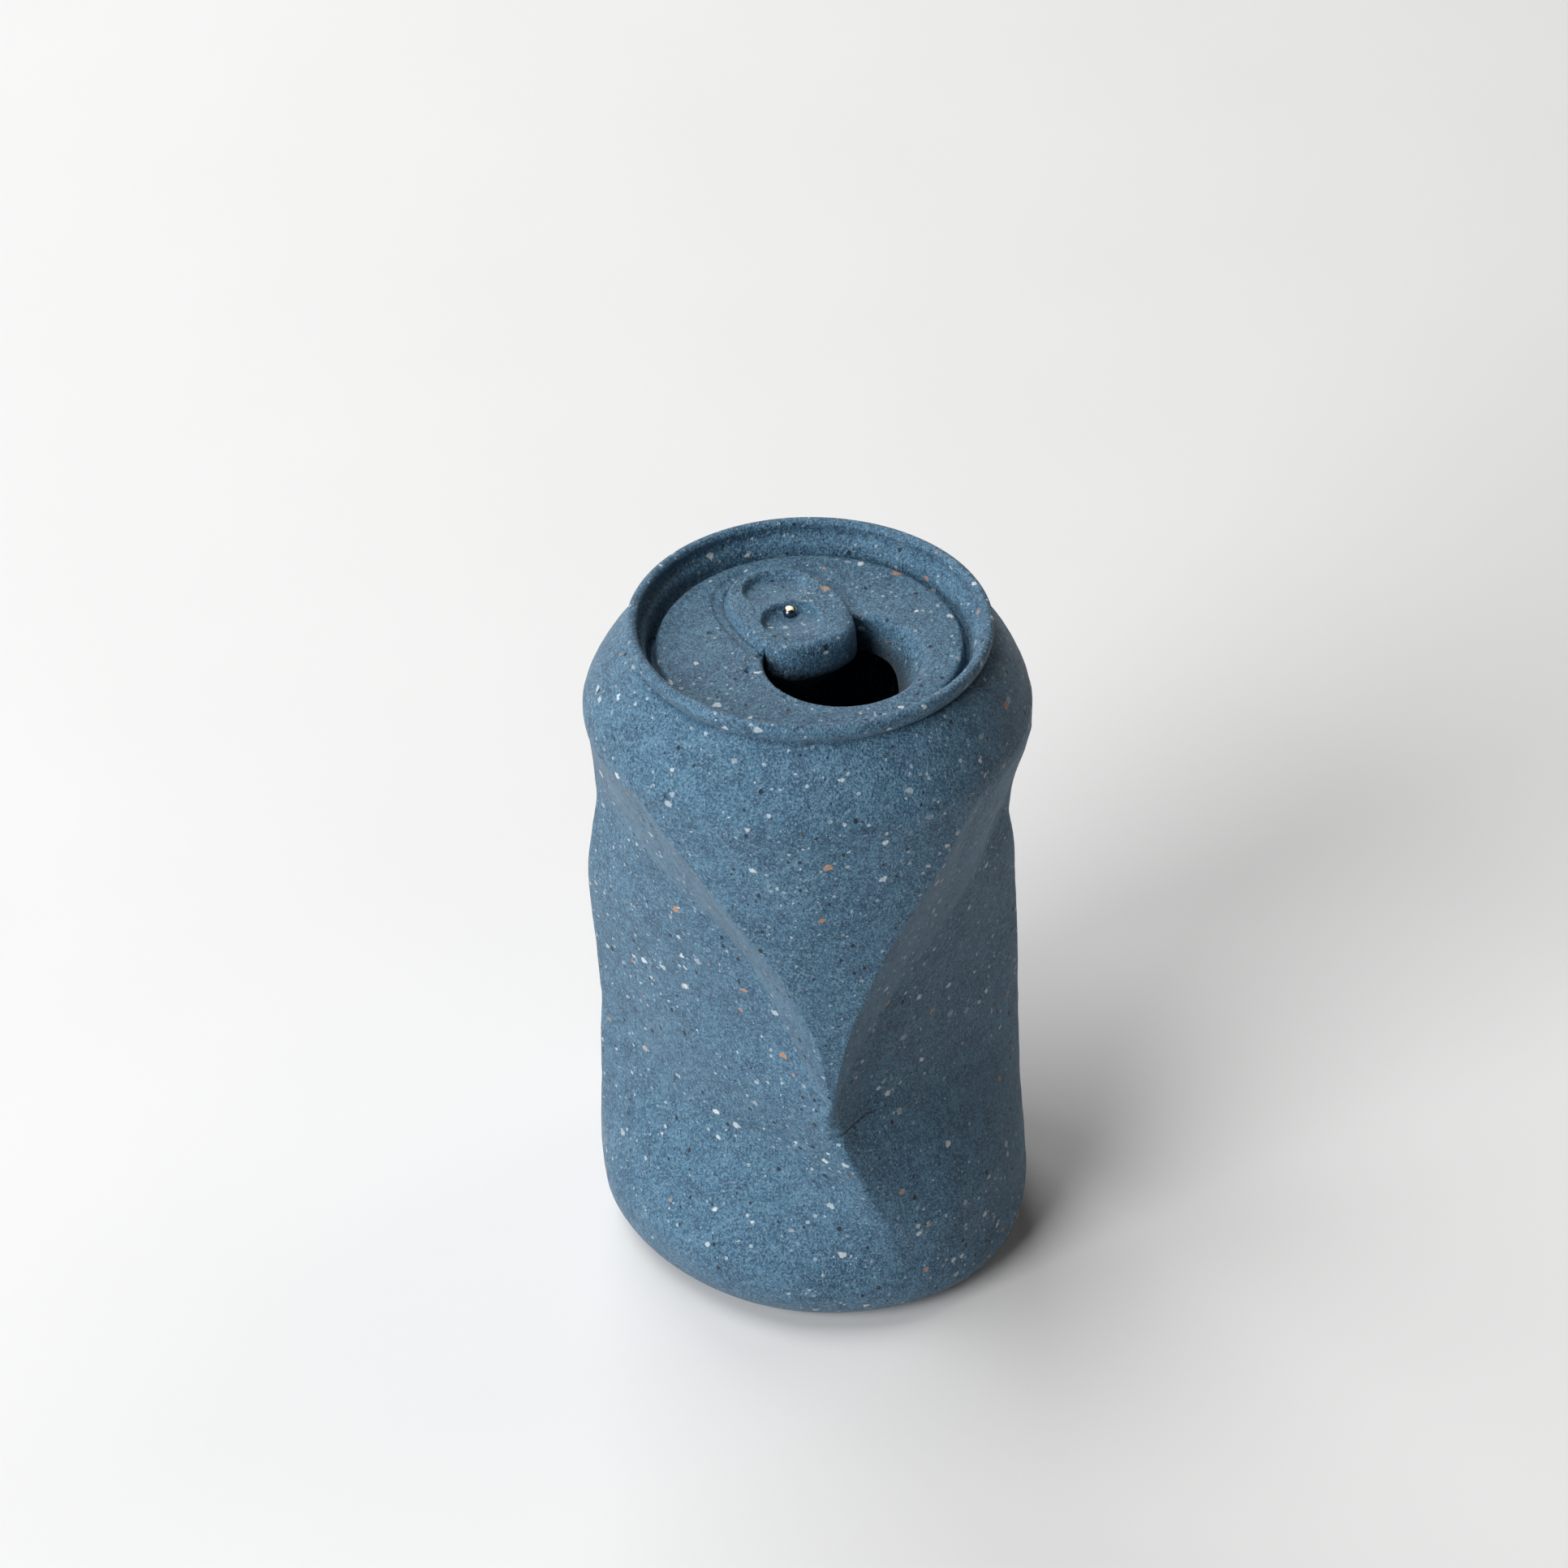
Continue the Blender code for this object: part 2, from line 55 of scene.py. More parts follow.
# Overall sizes, those of the CAD body
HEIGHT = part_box("can_body")[1].z / MM
BODY_RADIUS = 33.1
FOOT_RADIUS = 25.0
FOOT_HEIGHT = 9.0
WALL = 5.0
HOLLOW_CRUSH_SHARE = 0.73
FLOOR_THICKNESS = 8.0
NECK_RADIUS = 26.0
NECK_Z = HEIGHT - 3.0
PANEL_Z = HEIGHT - 4.0
LID_THICKNESS = 6.5
BASE_RADII = (21.0, 12.0)

# Section of the lid's edge, the groove and the rim, from the panel outwards and over: radius, z - HEIGHT
RIM_SECTION = (
    (21.2, -4.00), (21.8, -4.07), (22.15, -4.3), (22.32, -4.75), (22.4, -5.6), (22.55, -6.2),
    (22.85, -6.35), (23.1, -6.2), (23.22, -5.85), (23.4, -5.65), (23.58, -5.3), (23.68, -4.5),
    (23.8, -3.75), (24.02, -3.2), (24.35, -2.85), (24.75, -2.6), (25.02, -2.3), (25.12, -1.85),
    (25.06, -1.35), (24.92, -0.9), (24.98, -0.45), (25.3, -0.12), (25.75, 0.0), (26.2, -0.1),
    (26.5, -0.45), (26.6, -1.0), (26.52, -1.65), (26.3, -2.2), (26.0, -2.65), (25.78, -2.95),
    (25.72, -3.12),
)

# Folded wall: heights that stay in place, and those that the folds move
SHOULDER_Z = 97.5
SHOULDER_POWER = 1.3
RIDGE_Z = 72.0
VALLEY_Z = 62.0
UNCRUSHED_Z = 12.0
RIDGE_TOP_Z = 95.8
VALLEY_TOP_Z = 82.3
VALLEY_DEPTH = 1.9
RIGHT_LEFT_DEPTH = 0.3
DEPTH_FADE = 1.5
POINT_HALF_ANGLE = 9.0
CREASE_LEAN = 0.69
LEAST_BEVEL = 1.5

# The downward points of the folded wall: angle, height, and for the ridge and the valley on each side the
# angle it takes to rise to the top of the fold, the power that bends it, and the angle over which it
# starts out steeper
POINTS = (
    {
        "angle": 5.0,
        "z": 41.0,
        "ridge": ((53, 0.44, 1), (42, 0.48, 1)),
        "valley": ((90, 0.38, 27), (136, 0.48, 1)),
    },
    {
        "angle": 128.0,
        "z": 47.0,
        "ridge": ((46, 0.50, 1), (55, 0.45, 1)),
        "valley": ((62, 0.45, 1), (64, 0.50, 1)),
    },
    {
        "angle": -138.0,
        "z": 53.0,
        "ridge": ((44, 0.45, 1), (50, 0.50, 1)),
        "valley": ((58, 0.50, 1), (76, 0.35, 1)),
    },
)
NEAR_POWER = 0.35

# Flat facets under the folds: each runs from the sharp corner under one of the points, given by its index,
# round to a blunt corner at an angle, and becomes flat from a height upwards
FACETS = (
    (0, -92.0, 8.0),
    (0, 98.0, 15.0),
    (1, 98.0, 15.0),
    (1, 175.0, 15.0),
    (2, 175.0, 15.0),
    (2, -92.0, 8.0),
)
FLAT_RISE = 24.0
FLATNESS = 0.8
FLATNESS_AT_VALLEY = 0.52
FLATNESS_DROPS_FROM_Z = 50.0
BLUNTNESS = 1.2

# Soft dents (negative) and swellings (positive): angle, height, depth, and spread in degrees and mm. They
# die out from a little over the shoulder up to the neck.
DENTS = (
    (-88.0, 64.0, 1.75, 22.0, 9.0),
    (-88.0, 95.0, 0.15, 26.0, 5.0),
    (90.0, 97.0, -0.6, 26.0, 8.0),
    (88.0, 77.0, -1.3, 16.0, 5.0),
    (-80.0, 38.0, -0.6, 22.0, 4.5),
    (-42.0, 6.0, -1.2, 24.0, 11.0),
    (55.0, 8.0, 0.7, 32.0, 12.0),
    (58.0, 1.5, 2.6, 28.0, 4.5),
    (-32.0, 72.0, -0.5, 5.0, 3.0),
    (-10.0, 99.5, 0.8, 10.0, 3.5),
    (14.0, 41.5, -1.3, 6.0, 4.0),
    (165.0, 30.0, -0.6, 20.0, 6.0),
)
DENTS_FADE_FROM_Z = SHOULDER_Z + 3.0

# Hollow, before the crush: its ceiling, and the radius and height of the corners over and under its wall
HOLLOW_RADIUS = BODY_RADIUS - WALL
HOLLOW_TOP_Z = PANEL_Z - LID_THICKNESS
CEILING_RADIUS = 19.0
CEILING_EDGE = ((24.0, HOLLOW_TOP_Z - 1.5), (HOLLOW_RADIUS - 0.8, HOLLOW_TOP_Z - 6.0))
HOLLOW_WALL_TOP_Z = SHOULDER_Z - 9.0
HOLLOW_WALL_BOTTOM_Z = UNCRUSHED_Z + 4.0
HOLLOW_FOOT = ((HOLLOW_RADIUS - 3.5, FLOOR_THICKNESS + 1.5), (HOLLOW_RADIUS - 9.0, FLOOR_THICKNESS))

# Tab, in its own frame: u runs from the nose to the finger end, v across, with the pin at 0, 0
TAB_ORIGIN = (-2.9, 7.0)
TAB_ANGLE = 118.0
TAB_NOSE = 10.3
TAB_END = 10.7
TAB_HALF_WIDTH = 8.0
TAB_HEIGHT = 1.0
TAB_ROUNDING = 0.45
NOSE_ROUNDING = 1.3
NOSE_POWER = 3.0
END_POWER = 2.4
TAB_FOOT_WIDTH = 0.25
NOSE_WALL = 4.3
NOSE_BOTTOM = 12.3
NOSE_SWELL = 0.03
NOSE_TAPER_POWER = 0.85
NOSE_TIP_SCALE = 0.5
NOSE_TIP_BACK = 2.0
NOSE_END_SHARE = 0.16
NOSE_BACK = {"u": -1.5, "half_size": 2.0, "fade": (1.5, 5.0)}
SURROUND_MARGIN = 2.2
SURROUND_DEPTH = 0.3
SURROUND_EDGE = (-0.3, 0.15)
TAB_FURROW_DEPTH = 0.45
TAB_FURROW_WIDTH = 0.4
FURROW_FADE = 2.0
FINGER_RECESS = {"u": 5.6, "v": -0.6, "radii": (4.1, 4.9), "depth": 1.35, "edge": 0.14}
RIVET_RECESS = {"u": -2.6, "v": 1.0, "radii": (4.2, 4.5), "depth": 1.75, "edge": 0.12}
RECESS_FLOOR_POWER = 0.8
RECESS_LIP_SHARE = 0.25

# Mouth: its edge is tightly rounded, and more widely on the far right, where its wall also slopes
MOUTH_CENTRE = (4.5, -4.3)
MOUTH_RADIUS = 11.3
MOUTH_ROUNDING = 0.6
MOUTH_WIDE_ROUNDING = {"extra": 1.1, "angle": 5.0, "power": 3}
MOUTH_SLOPE = 0.13
MOUTH_SLOPE_END_SHARE = 0.3
MOUTH_EDGE_AT_TAB = 0.3
OVER_MOUTH_WIDTH = 1.5

# Air pits in the lid beside the mouth: x, y, radius and depth
LID_PITS = (
    (-8.9, -7.1, 0.55, 0.6),
    (-7.8, -0.4, 0.45, 0.5),
    (-7.0, -2.5, 0.40, 0.6),
    (-6.6, -3.7, 0.35, 0.5),
    (-7.3, -3.3, 0.30, 0.4),
    (8.6, 13.4, 0.45, 0.5),
    (5.4, 16.0, 0.35, 0.4),
    (-3.5, -13.5, 0.40, 0.4),
)
PIT_POWER = 4

# Pin
PIN_HEIGHT = 1.5
PIN_BELLY = 0.75
PIN_BELLY_FLATNESS = 0.93
PIN_HEAD_ANGLES = (50.0, -60.0)
PIN_TOP_RADIUS = 0.3
PIN_TOP_EDGE = (0.06, 0.01)
SHANK_RADIUS = 0.5
SHANK_SHOULDER = 2.0
PIN_SHARP_ANGLE = 40.0

# Unevenness of the outer wall, which only goes inwards: size, depth and place in the noise
UNEVENNESS = ((11.0, 0.28, 3.1), (4.0, 0.10, 11.7), (1.7, 0.05, 23.9))
UNEVENNESS_SINK = 0.12

# The scratch beside the front point: its height, how far from its middle it starts and stops fading out,
# and where it starts and ends from left to right
SCRATCH_Z = 39.2
SCRATCH_HALF_WIDTHS = (0.1, 0.3)
SCRATCH_START = (3.2, 4.6)
SCRATCH_END = (8.6, 10.8)

# Fineness of the mesh, and how strongly its rows gather towards the folds
SECTORS = 360
SHOULDER_ROWS = 16
UPPER_ROWS = 22
BEVEL_ROWS = 14
LOWER_ROWS = 44
FOOT_ROWS = 14
RIDGE_PULL = 0.75
BEVEL_PULL = 0.8
SOFTENING_PASSES = 2
RIM_STEPS = 2
HOLLOW_SECTORS = 90
HOLLOW_UPPER_ROWS = 3
HOLLOW_BEVEL_ROWS = 3
HOLLOW_LOWER_ROWS = 9
LID_GRID = 0.29
CEILING_GRID = 1.6
CLEAR_SHARE = 0.62
OUTLINE_STEP = 0.25
MOUTH_LEVELS = 14
PIN_SECTORS = 32
PIN_HEAD_ROWS = 16
TINY = 1e-9

# Noises in the composite: the size of their features, detail and roughness
NOISES = {
    "broad": (15.0, 3.0, 0.6),
    "crowd": (19.0, 2.0, 0.5),
    "patches": (3.4, 4.0, 0.65),
    "grain": (0.34, 2.0, 0.85),
    "grit": (0.85, 2.0, 0.7),
    "wave": (2.4, 2.0, 0.5),
}
GRIT_BROKEN = (0.6, 0.3)
SCRATCH_BROKEN = (3.0, 0.7)

# The paste goes from one blue to the other in broad patches
PASTE = ((0.036, 0.118, 0.200), (0.052, 0.143, 0.232))
PASTE_LIMITS = (0.38, 0.62)
CROWD_LIMITS = (0.35, 0.65, 0.3, 1.6)

# Lighter and darker tones in the paste: a noise, the values where it starts and where it is full, how
# strong it is there, and its colour
TONES = (
    ("patches", 0.46, 0.62, 0.75, (0.022, 0.078, 0.144)),
    ("patches", 0.46, 0.32, 0.5, (0.086, 0.198, 0.290)),
    ("grit", 0.52, 0.66, 0.6, (0.120, 0.236, 0.330)),
    ("grit", 0.48, 0.36, 0.6, (0.012, 0.046, 0.092)),
    ("grain", 0.52, 0.64, 0.8, (0.160, 0.270, 0.360)),
    ("grain", 0.47, 0.35, 0.9, (0.007, 0.027, 0.056)),
)

# Grains in the paste: the size of the cells they lie in, the share of the cells that hold one, whether they
# crowd in places, the limits of their radius, how blurred their edge is, the size and amount of the noise
# that breaks their outline, how they are squashed, their place in the noise, and the limits of their
# strength and colour
FLECKS = {
    "pale": {
        "cell": 1.25,
        "share": 0.62,
        "crowded": True,
        "radii": (0.10, 0.32),
        "blur": 0.25,
        "broken": (0.4, 0.3),
        "squash": 1.0,
        "shift": 0.0,
        "strength": (0.25, 0.85),
        "colours": ((0.40, 0.49, 0.55), (0.40, 0.49, 0.55)),
    },
    "white": {
        "cell": 2.7,
        "share": 0.5,
        "crowded": True,
        "radii": (0.17, 0.7),
        "blur": 0.6,
        "broken": (0.6, 0.75),
        "squash": 1.3,
        "shift": 31.0,
        "strength": (0.3, 0.95),
        "colours": ((0.56, 0.61, 0.64), (0.56, 0.61, 0.64)),
    },
    "ochre": {
        "cell": 5.5,
        "share": 0.45,
        "crowded": False,
        "radii": (0.3, 0.85),
        "blur": 0.5,
        "broken": (0.7, 0.8),
        "squash": 1.4,
        "shift": 77.0,
        "strength": (0.8, 0.8),
        "colours": ((0.45, 0.21, 0.08), (0.36, 0.26, 0.21)),
    },
    "umber": {
        "cell": 8.0,
        "share": 0.22,
        "crowded": False,
        "radii": (0.25, 0.6),
        "blur": 0.5,
        "broken": (0.7, 0.8),
        "squash": 1.2,
        "shift": 131.0,
        "strength": (0.7, 0.7),
        "colours": ((0.075, 0.055, 0.042), (0.075, 0.055, 0.042)),
    },
    # Pits: their near-black colour is painted shade inside them, and they also sink in the relief
    "pits": {
        "cell": 1.9,
        "share": 0.5,
        "crowded": False,
        "radii": (0.16, 0.38),
        "blur": 0.4,
        "broken": (0.4, 0.25),
        "squash": 0.8,
        "shift": 211.0,
        "strength": (0.9, 0.9),
        "colours": ((0.004, 0.009, 0.015), (0.004, 0.009, 0.015)),
    },
}
SIZE_SKEW = 1.6
SCRATCH_COLOUR = (0.010, 0.022, 0.034)
SCRATCH_STRENGTH = 0.7
# Painted shade in the mouth: its walls darken towards this colour with depth, for the shadow of the nose and
# the lid
MOUTH_SHADE_COLOUR = (0.008, 0.018, 0.030)
MOUTH_SHADE_STRENGTH = 0.88
MOUTH_SHADE_DEPTHS = (6.0, 0.8)
MOUTH_SHADE_MARGIN = 0.3

# Finish of the composite
ROUGHNESS_LIMITS = (0.35, 0.65, 0.50, 0.74)
FINISH = {
    "Specular IOR Level": 0.42,
    "Sheen Weight": 0.11,
    "Sheen Roughness": 0.35,
    "Sheen Tint": (1.0, 0.93, 0.86, 1.0),
}

# Relief of the composite in millimetres
GRAIN_RELIEF = 0.26
GRIT_RELIEF = 0.24
WAVE_RELIEF = 0.16
PIT_RELIEF = 0.15
SCRATCH_RELIEF = 0.2

# Pin and floor
# Pin colours: down its sides a dark blue-grey that is a painted reflection of the blue lid, and brass on its
# flat top
PIN_SIDE_REFLECTION = ((0.07, 0.10, 0.14), (0.16, 0.2, 0.25))
BRASS = ((0.86, 0.68, 0.40), (0.95, 0.80, 0.52))
# How far below the top the brass reaches before the painted reflection of the sides takes over, and a noise
# that breaks that line
BRASS_TOP_DEPTH = 0.09
# Each noise's size in millimetres and its detail, and for the shade its roughness.
PIN_EDGE_NOISE = (0.2, 2.0)
PIN_EDGE_NOISE_DEPTH = 0.12
PIN_SHADE = (0.35, 3.0, 0.6)
PIN_ROUGHNESS_LIMITS = (0.3, 0.7, 0.22, 0.38)
FLOOR_TONES = ((0.705, 0.705, 0.705), (0.73, 0.73, 0.73))
FLOOR_UNEVENNESS = (60.0, 2.0)
FLOOR_ROUGHNESS = 0.9
FLOOR_SPECULAR = 0.1
FLOOR_HALF_SIZE = 4.0

# Camera
CAMERA_PLACE = (-0.00386, -0.53413, 0.48998)
CAMERA_TILT = 37.44
CAMERA_ROLL = -0.4
CAMERA_LENS = 104.35
SENSOR_WIDTH = 36.0
CLIP_START = 0.01

# Soft lights round the can: azimuth, elevation, size, watts and colour
LIGHT_DISTANCE = 1.4
WHITE = (1.0, 1.0, 1.0)
LIGHTS = {
    "key": (-45.0, 31.0, 0.7, 15.3, WHITE),
    "low": (-46.0, 13.0, 0.6, 6.3, WHITE),
    "back": (-160.0, 30.0, 0.8, 9.8, WHITE),
    "high": (-95.0, 64.0, 0.8, 11.6, WHITE),
    "right": (120.0, 30.0, 0.7, 2.5, (1.0, 0.93, 0.86)),
}


def smoothstep(value, low, high):
    share = np.clip((value - low) / (high - low), 0.0, 1.0)
    return share * share * (3.0 - 2.0 * share)


def rounded(away, radius):
    """How far a rounded edge has dropped, at this distance in from its face."""
    inner = np.clip(radius - away, 0.0, radius)
    return radius - np.sqrt(np.maximum(radius * radius - inner * inner, 0.0))


def angle_between(angle, other):
    """The signed way from one angle to another, in degrees, the short way round."""
    return (other - angle + 180.0) % 360.0 - 180.0


# ---------------------------------------------------------------------------------------- the crush


def fold_line(angle, line, top):
    """Height of the ridge or the valley at this angle: the lowest of the points that reach it."""
    heights = []
    for point in POINTS:
        away = angle_between(point["angle"], angle)
        left, right = point[line]
        reach, power, near = (np.where(away > 0, right[i], left[i]) for i in range(3))
        rise = np.minimum(1.0, np.abs(away) / reach) ** power
        rise = rise * np.minimum(1.0, np.abs(away) / near) ** NEAR_POWER
        heights.append(point["z"] + (top - point["z"]) * rise)
    return np.min(heights, axis=0)


def fold_heights(angle):
    ridge = fold_line(angle, "ridge", RIDGE_TOP_Z)
    valley = np.minimum(fold_line(angle, "valley", VALLEY_TOP_Z), ridge - LEAST_BEVEL)
    return ridge, valley


def crease_angle(point, z):
    """Angle of the sharp corner that runs down from one of the points."""
    return point["angle"] + CREASE_LEAN * np.maximum(0.0, point["z"] - z)


def valley_depth(angle, z):
    """How far the wall is pushed in along the valley. It is nothing at a point and its crease."""
    depth = VALLEY_DEPTH + RIGHT_LEFT_DEPTH * np.sin(np.radians(angle))
    for point in POINTS:
        away = np.abs(angle_between(crease_angle(point, z), angle))
        depth = depth * (1.0 - np.exp(-away / POINT_HALF_ANGLE))
    return depth


def facet_depth(angle, z):
    """How far the flat facet at this angle lies inside the round wall."""
    total = np.zeros_like(z)
    for index, blunt, flat_from in FACETS:
        sharp = crease_angle(POINTS[index], z)
        span = angle_between(sharp, blunt)
        away = angle_between(sharp, angle)
        share = away / span
        half = np.radians(np.abs(span) / 2)
        sagitta = BODY_RADIUS * (1.0 - np.cos(half) / np.cos(np.radians(np.abs(away)) - half))
        blunted = np.hypot(sagitta, BLUNTNESS * share) - BLUNTNESS * share
        blunted = blunted * smoothstep(z, flat_from, flat_from + FLAT_RISE)
        total = total + np.where((share > 0.0) & (share < 1.0), blunted, 0.0)
    drop = (FLATNESS - FLATNESS_AT_VALLEY) * smoothstep(z, FLATNESS_DROPS_FROM_Z, VALLEY_TOP_Z)
    return total * (FLATNESS - drop)


def dents(angle, z):
    total = np.zeros_like(z)
    for dent_angle, dent_z, depth, spread_angle, spread_z in DENTS:
        across = angle_between(dent_angle, angle) / spread_angle
        along = (z - dent_z) / spread_z
        total = total + depth * np.exp(-0.5 * (across * across + along * along))
    return total


def crushed(radius, angle, z, crush_share=1.0):
    """Radius and height to which the crush takes points of the round wall."""
    ridge, valley = fold_heights(angle)
    upper = (z >= RIDGE_Z) & (z < SHOULDER_Z)
    bevel = (z >= VALLEY_Z) & (z < RIDGE_Z)
    lower = (z > UNCRUSHED_Z) & (z < VALLEY_Z)
    upper_share = (z - RIDGE_Z) / (SHOULDER_Z - RIDGE_Z)
    bevel_share = (z - VALLEY_Z) / (RIDGE_Z - VALLEY_Z)
    lower_share = np.clip((z - UNCRUSHED_Z) / (VALLEY_Z - UNCRUSHED_Z), 0.0, 1.0)
    moved = np.where(upper, ridge + (SHOULDER_Z - ridge) * upper_share, z)
    moved = np.where(bevel, valley + (ridge - valley) * bevel_share, moved)
    moved = np.where(lower, UNCRUSHED_Z + (valley - UNCRUSHED_Z) * lower_share, moved)
    notch = valley_depth(angle, moved)
    facet = facet_depth(angle, np.minimum(moved, valley))
    pushed_in = np.where(bevel, (notch + facet) * (1.0 - bevel_share), 0.0)
    pushed_in = np.where(lower, notch * lower_share**DEPTH_FADE + facet, pushed_in)
    fade = smoothstep(z, NECK_Z, DENTS_FADE_FROM_Z)
    return radius - pushed_in * crush_share + dents(angle, moved) * fade, moved


# ---------------------------------------------------------------------------------------- wall rows


def clustered(top, bottom, count, top_pull, bottom_pull):
    """Heights from top to bottom, closer together towards an end that pulls."""
    share = np.linspace(0.0, 1.0, count + 1)
    pulled = share + top_pull * (-share * (1.0 - share) ** 2) + bottom_pull * (share**2 * (1.0 - share))
    return top + (bottom - top) * pulled


def smooth_curve(points, steps):
    """Points of a Catmull-Rom curve through the given ones."""
    points = np.array(points)
    padded = np.vstack((2 * points[0] - points[1], points, 2 * points[-1] - points[-2]))
    made = []
    for before, start, end, after in zip(padded, padded[1:], padded[2:], padded[3:]):
        for share in np.arange(steps) / steps:
            made.append(
                0.5
                * (
                    2 * start
                    + (end - before) * share
                    + (2 * before - 5 * start + 4 * end - after) * share**2
                    + (3 * start - before - 3 * end + after) * share**3
                )
            )
    made.append(points[-1])
    return np.array(made)


def shoulder_rows():
    """The bulging shoulder, from the neck out to the full radius, as a quarter of a superellipse."""
    angle = np.radians(90.0 * np.arange(1, SHOULDER_ROWS + 1) / SHOULDER_ROWS)
    across = np.sin(angle) ** (2 / SHOULDER_POWER)
    down = np.maximum(np.cos(angle), 0.0) ** (2 / SHOULDER_POWER)
    radius = NECK_RADIUS + (BODY_RADIUS - NECK_RADIUS) * across
    return np.column_stack((radius, SHOULDER_Z + (NECK_Z - SHOULDER_Z) * down))


def wall_rows():
    """The turned section below the neck: shoulder, wall, foot and base."""
    straight = np.concatenate(
        (
            clustered(SHOULDER_Z, RIDGE_Z, UPPER_ROWS, 0.0, RIDGE_PULL)[1:],
            clustered(RIDGE_Z, VALLEY_Z, BEVEL_ROWS, BEVEL_PULL, BEVEL_PULL)[1:],
            clustered(VALLEY_Z, UNCRUSHED_Z, LOWER_ROWS, BEVEL_PULL, 0.0)[1:],
            np.linspace(UNCRUSHED_Z, FOOT_HEIGHT, 3)[1:],
        )
    )
    wall = np.column_stack((np.full(len(straight), BODY_RADIUS), straight))
    turn = np.radians(np.linspace(0.0, 90.0, FOOT_ROWS + 1)[1:])
    foot = np.column_stack(
        (
            FOOT_RADIUS + (BODY_RADIUS - FOOT_RADIUS) * np.cos(turn),
            FOOT_HEIGHT * (1.0 - np.sin(turn)),
        )
    )
    base = np.array([[radius, 0.0] for radius in BASE_RADII])
    return np.vstack((shoulder_rows(), wall, foot, base))


def softened(grid, passes):
    """The grid of points with its creases eased along and across its rows."""
    for _ in range(passes):
        inner = (grid[:-2] + 2 * grid[1:-1] + grid[2:]) / 4
        grid = np.concatenate((grid[:1], inner, grid[-1:]))
        grid = (np.roll(grid, 1, axis=1) + 2 * grid + np.roll(grid, -1, axis=1)) / 4
    return grid


def round_grid(radius, angle, z):
    """Points at these radii, angles and heights."""
    turn = np.radians(angle)
    return np.stack((radius * np.sin(turn), -radius * np.cos(turn), z), axis=-1)


def outer_grid():
    """Rings of points over the rim and down the crushed wall to the base."""
    angle = np.arange(SECTORS) * 360.0 / SECTORS - 180.0
    rows = wall_rows()
    all_angles = np.tile(angle, (len(rows), 1))
    radius, z = crushed(
        np.tile(rows[:, :1], (1, SECTORS)), all_angles, np.tile(rows[:, 1:], (1, SECTORS))
    )
    wall = round_grid(radius, all_angles, z)
    bottom = len(rows) - len(BASE_RADII)
    wall = np.concatenate((softened(wall[:bottom], SOFTENING_PASSES), wall[bottom:]))
    moved = unevenness(wall.reshape(-1, 3)).reshape(radius.shape)
    moved = moved * smoothstep(z, NECK_Z, SHOULDER_Z) * smoothstep(z, 0.0, FOOT_HEIGHT)
    wall[..., :2] *= (1.0 + np.minimum(moved - UNEVENNESS_SINK, 0.0) / BODY_RADIUS)[..., None]
    section = smooth_curve(RIM_SECTION, RIM_STEPS)
    rim_angles = np.tile(angle, (len(section), 1))
    rim_radius = np.tile(section[:, :1], (1, SECTORS))
    rim = round_grid(rim_radius, rim_angles, np.tile(section[:, 1:] + HEIGHT, (1, SECTORS)))
    return np.concatenate((rim, wall))


def unevenness(points):
    """How far a soft random unevenness moves each of the points."""
    total = np.zeros(len(points))
    for size, depth, seed in UNEVENNESS:
        away = Vector((seed, 2.0 * seed, 3.0 * seed))
        total += depth * np.array([noise.noise(Vector(point) / size + away) for point in points])
    return total


# ----------------------------------------------------------------------------------------- the lid


def to_tab(x, y):
    """From the can's x and y to the tab's u and v."""
    turn = math.radians(TAB_ANGLE)
    dx = x - TAB_ORIGIN[0]
    dy = y - TAB_ORIGIN[1]
    return dx * math.cos(turn) + dy * math.sin(turn), -dx * math.sin(turn) + dy * math.cos(turn)


def from_tab(u, v):
    """From the tab's u and v to the can's x and y."""
    turn = math.radians(TAB_ANGLE)
    x = TAB_ORIGIN[0] + u * math.cos(turn) - v * math.sin(turn)
    y = TAB_ORIGIN[1] + u * math.sin(turn) + v * math.cos(turn)
    return x, y


def outside_tab(x, y):
    """Distance outside the tab's outline, about; inside it the distance is negative."""
    u, v = to_tab(x, y)
    reach = np.where(u > 0, TAB_END, TAB_NOSE)
    power = np.where(u > 0, END_POWER, NOSE_POWER)
    across = np.abs(u) / reach + TINY
    along = np.abs(v) / TAB_HALF_WIDTH + TINY
    gauge = (across**power + along**power) ** (1.0 / power)
    slope_u = gauge ** (1.0 - power) * across ** (power - 1.0) / reach
    slope_v = gauge ** (1.0 - power) * along ** (power - 1.0) / TAB_HALF_WIDTH
    return (gauge - 1.0) / np.hypot(slope_u, slope_v)


def recess(x, y, shape):
    """Depth of a round recess whose floor slopes up to nothing on the side of the nose."""
    u, v = to_tab(x, y)
    across = (u - shape["u"]) / shape["radii"][0]
    along = (v - shape["v"]) / shape["radii"][1]
    away = np.hypot(across, along)
    rise = 0.5 + 0.5 * np.clip(across / np.maximum(away, 1.0), -1.0, 1.0)
    floor = shape["depth"] * rise**RECESS_FLOOR_POWER
    return floor * (1.0 - smoothstep(away, 1.0 - shape["edge"], 1.0 + RECESS_LIP_SHARE * shape["edge"]))


def pits(x, y):
    """Depth of the air pits in the lid."""
    total = np.zeros_like(x)
    for pit_x, pit_y, radius, depth in LID_PITS:
        total = total + depth * np.exp(-((np.hypot(x - pit_x, y - pit_y) / radius) ** PIT_POWER))
    return total


def mouth_rounding(x, y):
    """Radius of the mouth's rounded edge: wide on the far right, tight at the front and left."""
    wide = MOUTH_WIDE_ROUNDING
    turn = np.arctan2(y - MOUTH_CENTRE[1], x - MOUTH_CENTRE[0])
    facing = np.maximum(0.0, np.cos(turn - math.radians(wide["angle"])))
    return MOUTH_ROUNDING + wide["extra"] * facing ** wide["power"]


